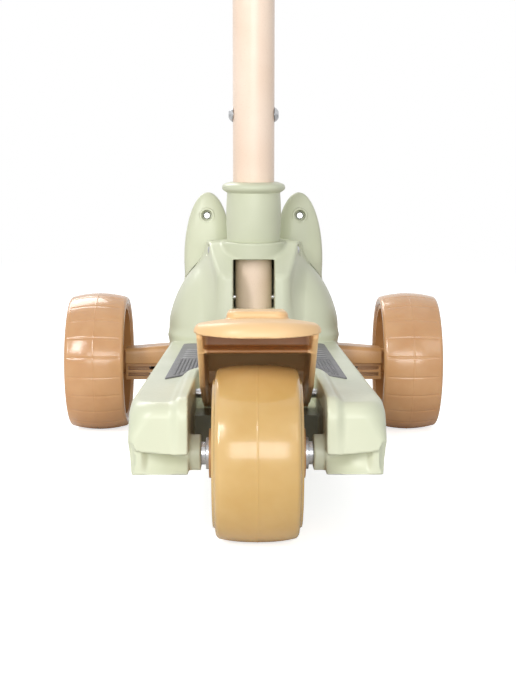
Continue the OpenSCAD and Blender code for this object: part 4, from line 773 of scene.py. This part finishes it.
frontTyre = {
    "half": 25, "radius": 59.88, "inner": 50.0, "crown": 3.6, "peak": 2.0, "seam": 0.12,
    "grooves": 22, "groove": 0.3, "rim": frontRim, "turned": 3.2, "shoulder": 3.2, "material": caramelTyre}
tyreShapes = {
    "left": {**frontTyre, "place": (-135, 205, 60), "node": "front_tyre_left"},
    "right": {**frontTyre, "place": (135, 205, 60), "node": "front_tyre_right"},
    "rear": {
        "half": 23.4, "radius": 49.88, "inner": 39.4, "crown": 2.6, "peak": 2.4, "seam": 0.12,
        "grooves": 0, "groove": 0, "rim": rearRim, "turned": 3.2, "shoulder": 3.8, "material": goldenTyre,
        "place": (0, -215, 50), "node": "rear_tyre"}}
for side, look in tyreShapes.items():
    tyrePiece("tyre" + side.capitalize(), "wheel_" + side, look)
print("pedal and tyres are made")

# grip mat: a rubber plate with wavy ridges ahead and small dots behind
matShape = {
    "half": 58, "front": 133, "low": 79.6, "top": 81.9, "wellGap": 8.5, "ridgeFrom": 79, "ridgePitch": 15.6,
    "ridges": 5, "wave": 2.2, "waveLength": 40, "ridgeHalf": 2.6, "ridgeHeight": 0.8}


def matPlan(x, y):  # distance to the mat's outline, in plan
    s = matShape
    plan = roundedCorner(x - s["half"], y - s["front"], 9)
    well = wellPlan(x, y)
    plan = both(plan, s["wellGap"] - well, 1.5)
    plan = both(plan, np.where(y < -90, 0.87 * (45 + 0.5625 * (-99 - y) - x), -40), 1.5)
    return np.maximum(plan, np.where(y > 118, 1.8 - deckOutside(x, y, np.full(x.shape, 84.0)), -50))


def matField(p):
    s = matShape
    x, y, z = np.abs(p[0]), p[1], p[2]
    plan = matPlan(x, y)
    height = np.full(x.shape, float(s["top"]))
    for i in range(s["ridges"]):
        wave = s["wave"] * np.sin(2 * math.pi * p[0] / s["waveLength"])
        middle = s["ridgeFrom"] - s["ridgePitch"] * (i + 0.5) + wave
        ridge = np.clip(1 - ((y - middle) / s["ridgeHalf"]) ** 2, 0, 1)
        height = height + s["ridgeHeight"] * ridge * ridge * bend(-plan, 3, 7)
    return both(both(plan, z - height, 0.7), s["low"] - z, 0.2)


matPiece = fieldPiece("gripMat", matField, (-62, -128, 78), (62, 138, 84), 0.8 * fine, 120000, greyRubber)
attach(matPiece, "deck")
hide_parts("grip_mat")


def startTree(name, sockets):  # geometry in and out, and named inputs for the sizes
    tree = bpy.data.node_groups.new(name, "GeometryNodeTree")
    tree.interface.new_socket("Geometry", in_out="INPUT", socket_type="NodeSocketGeometry")
    for label, kind in sockets:
        tree.interface.new_socket(label, in_out="INPUT", socket_type="NodeSocket" + kind)
    tree.interface.new_socket("Geometry", in_out="OUTPUT", socket_type="NodeSocketGeometry")
    given = addNode(tree, "NodeGroupInput")
    return tree, {label: given.outputs[label] for label in ["Geometry"] + [s[0] for s in sockets]}


def growTree(thing, tree, values):  # run a tree on an object and keep the result as a plain mesh
    grower = thing.modifiers.new(tree.name, "NODES")
    grower.node_group = tree
    for item in tree.interface.items_tree:
        if item.item_type == "SOCKET" and item.in_out == "INPUT" and item.name in values:
            grower[item.identifier] = values[item.name]
    settle(thing)


def pointMesh(name, points, edges=()):
    mesh = bpy.data.meshes.new(name)
    mesh.from_pydata([tuple(c / 1000 for c in p) for p in points], edges, [])
    return newObject(name, mesh)


# moulded dots on the rear part of the mat, in diagonal rows
dots, given = startTree("mouldedDots", [("Radius", "Float"), ("Height", "Float"), ("Material", "Material")])
ball = addNode(dots, "GeometryNodeMeshUVSphere", None, {"Segments": 8, "Rings": 5, "Radius": given["Radius"]})
flat = addNode(dots, "ShaderNodeCombineXYZ", None, {"X": 1.0, "Y": 1.0, "Z": given["Height"]})
spread = addNode(dots, "GeometryNodeInstanceOnPoints", None, {
    "Points": given["Geometry"], "Instance": ball.outputs["Mesh"], "Scale": flat.outputs[0]})
solid = addNode(dots, "GeometryNodeRealizeInstances", None, {"Geometry": spread.outputs[0]})
smooth = addNode(dots, "GeometryNodeSetShadeSmooth", None, {"Geometry": solid.outputs[0]})
painted = addNode(dots, "GeometryNodeSetMaterial", None, {
    "Geometry": smooth.outputs[0], "Material": given["Material"]})
addNode(dots, "NodeGroupOutput", None, {"Geometry": painted.outputs[0]})
dotShape = {"pitch": 3.4, "radius": 1.1, "height": 0.5, "edge": 3.0, "from": -122, "to": 0}
reach = int(140 / dotShape["pitch"])
steps = range(-reach, reach)
lattice = np.array([(i + j, i - j) for i in steps for j in steps]) * dotShape["pitch"] / 1.414
lattice[:, 1] -= 60
free = matPlan(np.abs(lattice[:, 0]), lattice[:, 1]) < -dotShape["edge"]
free &= (lattice[:, 1] > dotShape["from"]) & (lattice[:, 1] < dotShape["to"])
dotPiece = pointMesh("gripMatDots", [(x, y, matShape["top"]) for x, y in lattice[free]])
growTree(dotPiece, dots, {
    "Radius": dotShape["radius"] / 1000, "Height": dotShape["height"], "Material": greyRubber})
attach(dotPiece, "deck")
print("mat is made, with", int(free.sum()), "dots")

# springs: round wire along their own path
wire, given = startTree("roundWire", [("Radius", "Float"), ("Sides", "Int"), ("Material", "Material")])
line = addNode(wire, "GeometryNodeMeshToCurve", None, {"Mesh": given["Geometry"]})
section = addNode(wire, "GeometryNodeCurvePrimitiveCircle", None, {
    "Resolution": given["Sides"], "Radius": given["Radius"]})
swept = addNode(wire, "GeometryNodeCurveToMesh", None, {
    "Curve": line.outputs[0], "Profile Curve": section.outputs[0], "Fill Caps": True})
solid = addNode(wire, "GeometryNodeRealizeInstances", None, {"Geometry": swept.outputs[0]})
smooth = addNode(wire, "GeometryNodeSetShadeSmooth", None, {"Geometry": solid.outputs[0]})
painted = addNode(wire, "GeometryNodeSetMaterial", None, {
    "Geometry": smooth.outputs[0], "Material": given["Material"]})
addNode(wire, "NodeGroupOutput", None, {"Geometry": painted.outputs[0]})


def springPiece(name, path, radius, node):  # round wire along the given path; the spring is attached to no body
    piece = pointMesh(name, path, [(i, i + 1) for i in range(len(path) - 1)])
    growTree(piece, wire, {"Radius": radius / 1000, "Sides": 12, "Material": springWire})
    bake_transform(piece)
    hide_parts(node)


turnSteps = 24  # points in each turn of a spring
centringShape = {"x": 36, "y": 205, "radius": 6.6, "wire": 2.4, "turns": 4}
for side, word in ((-1, "left"), (1, "right")):
    low, high = (1000 * c[2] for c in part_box("centring_spring_" + word))
    rise = high - low - centringShape["wire"]
    path = []
    for i in range(centringShape["turns"] * turnSteps + 1):
        turn = 2 * math.pi * i / turnSteps
        path.append((side * centringShape["x"] + centringShape["radius"] * math.cos(turn),
                     centringShape["y"] + centringShape["radius"] * math.sin(turn),
                     low + centringShape["wire"] / 2 + rise * i / (centringShape["turns"] * turnSteps)))
    springPiece("centringSpring" + word.capitalize(), path, centringShape["wire"] / 2,
                "centring_spring_" + word)
returnShape = {"hinge": (-120, 72), "radius": 4.3, "wire": 1.6, "turns": 6, "pitch": 2.2}
across = -returnShape["turns"] * returnShape["pitch"] / 2 - 3
hingeY, hingeZ = returnShape["hinge"]
path = [(across, -138, 63.8), (across, -129, hingeZ - returnShape["radius"] - 1.2)]
for i in range(turnSteps * returnShape["turns"] + 16):
    turn = -math.pi / 2 - 2 * math.pi * i / turnSteps
    path.append((across + 3 + i * returnShape["pitch"] / turnSteps,
                 hingeY + returnShape["radius"] * math.cos(turn),
                 hingeZ + returnShape["radius"] * math.sin(turn)))
path.append((across + 5 + returnShape["turns"] * returnShape["pitch"], -138, 79.2))
springPiece("brakeReturnSpring", path, returnShape["wire"] / 2, "brake_spring")


# small machined and moulded parts: a copy of the solid with its sharp edges broken
breaking = {"weld": 4e-6, "sliver": 2e-6, "flat": math.radians(0.8), "sharp": math.radians(32), "segments": 2}


def softened(node, width):
    mesh = nodes[node].data.copy()
    mesh.name = node
    if mesh.has_custom_normals:
        mesh.attributes.remove(mesh.attributes["custom_normal"])
    work = bmesh.new()
    work.from_mesh(mesh)
    bmesh.ops.remove_doubles(work, verts=work.verts, dist=breaking["weld"])
    bmesh.ops.dissolve_degenerate(work, edges=work.edges, dist=breaking["sliver"])
    bmesh.ops.dissolve_limit(work, angle_limit=breaking["flat"], verts=work.verts, edges=work.edges)
    work.to_mesh(mesh)
    work.free()
    words = node.split("_")
    piece = newObject(words[0] + "".join(w.capitalize() for w in words[1:]) + "Finished", mesh)
    mesh.shade_smooth()
    edge = piece.modifiers.new("brokenEdges", "BEVEL")
    edge.width = width / 1000
    edge.segments = breaking["segments"]
    edge.limit_method = "ANGLE"
    edge.angle_limit = breaking["sharp"]
    edge.harden_normals = True
    edge.use_clamp_overlap = True
    edge.miter_outer = "MITER_ARC"
    finished = settle(piece)
    finished.materials.clear()
    finished.materials.append(finishes[slotOf[node]])
    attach(piece, bodyOf[node])
    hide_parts(node)


bodyOf = {name: body for body, names in frame["record"]["behaviour"]["bodies"].items() for name in names}
edgeBreaks = {  # bevel width in millimetres for each part
    "axle_beam": 0.7, "front_hub_left": 0.6, "front_hub_right": 0.6, "rear_hub": 0.6, "hub_cap_left": 0.5,
    "hub_cap_right": 0.5, "stem_collar": 0.7, "tee_cover": 0.9, "clamp_collar": 0.7, "clamp_lever": 0.8,
    "grip_left": 0.5, "grip_right": 0.5, "pivot_bracket": 0.5, "guide_bush": 0.4, "foot_bush": 0.3,
    "pivot_bushes": 0.3, "rear_axle": 0.35, "rear_axle_nut": 0.4, "front_axle_nuts": 0.4, "kingpin": 0.4,
    "kingpin_nut": 0.4, "stem_bolt": 0.35, "stem_barrel_nut": 0.35, "neck_bolt": 0.3, "post_bolt": 0.3,
    "clamp_bolt": 0.3, "cover_screws": 0.2, "bracket_screws": 0.25, "rear_washers": 0.25, "front_washers": 0.25}
for node, width in edgeBreaks.items():
    softened(node, width)
print(len(edgeBreaks), "small parts have broken edges")
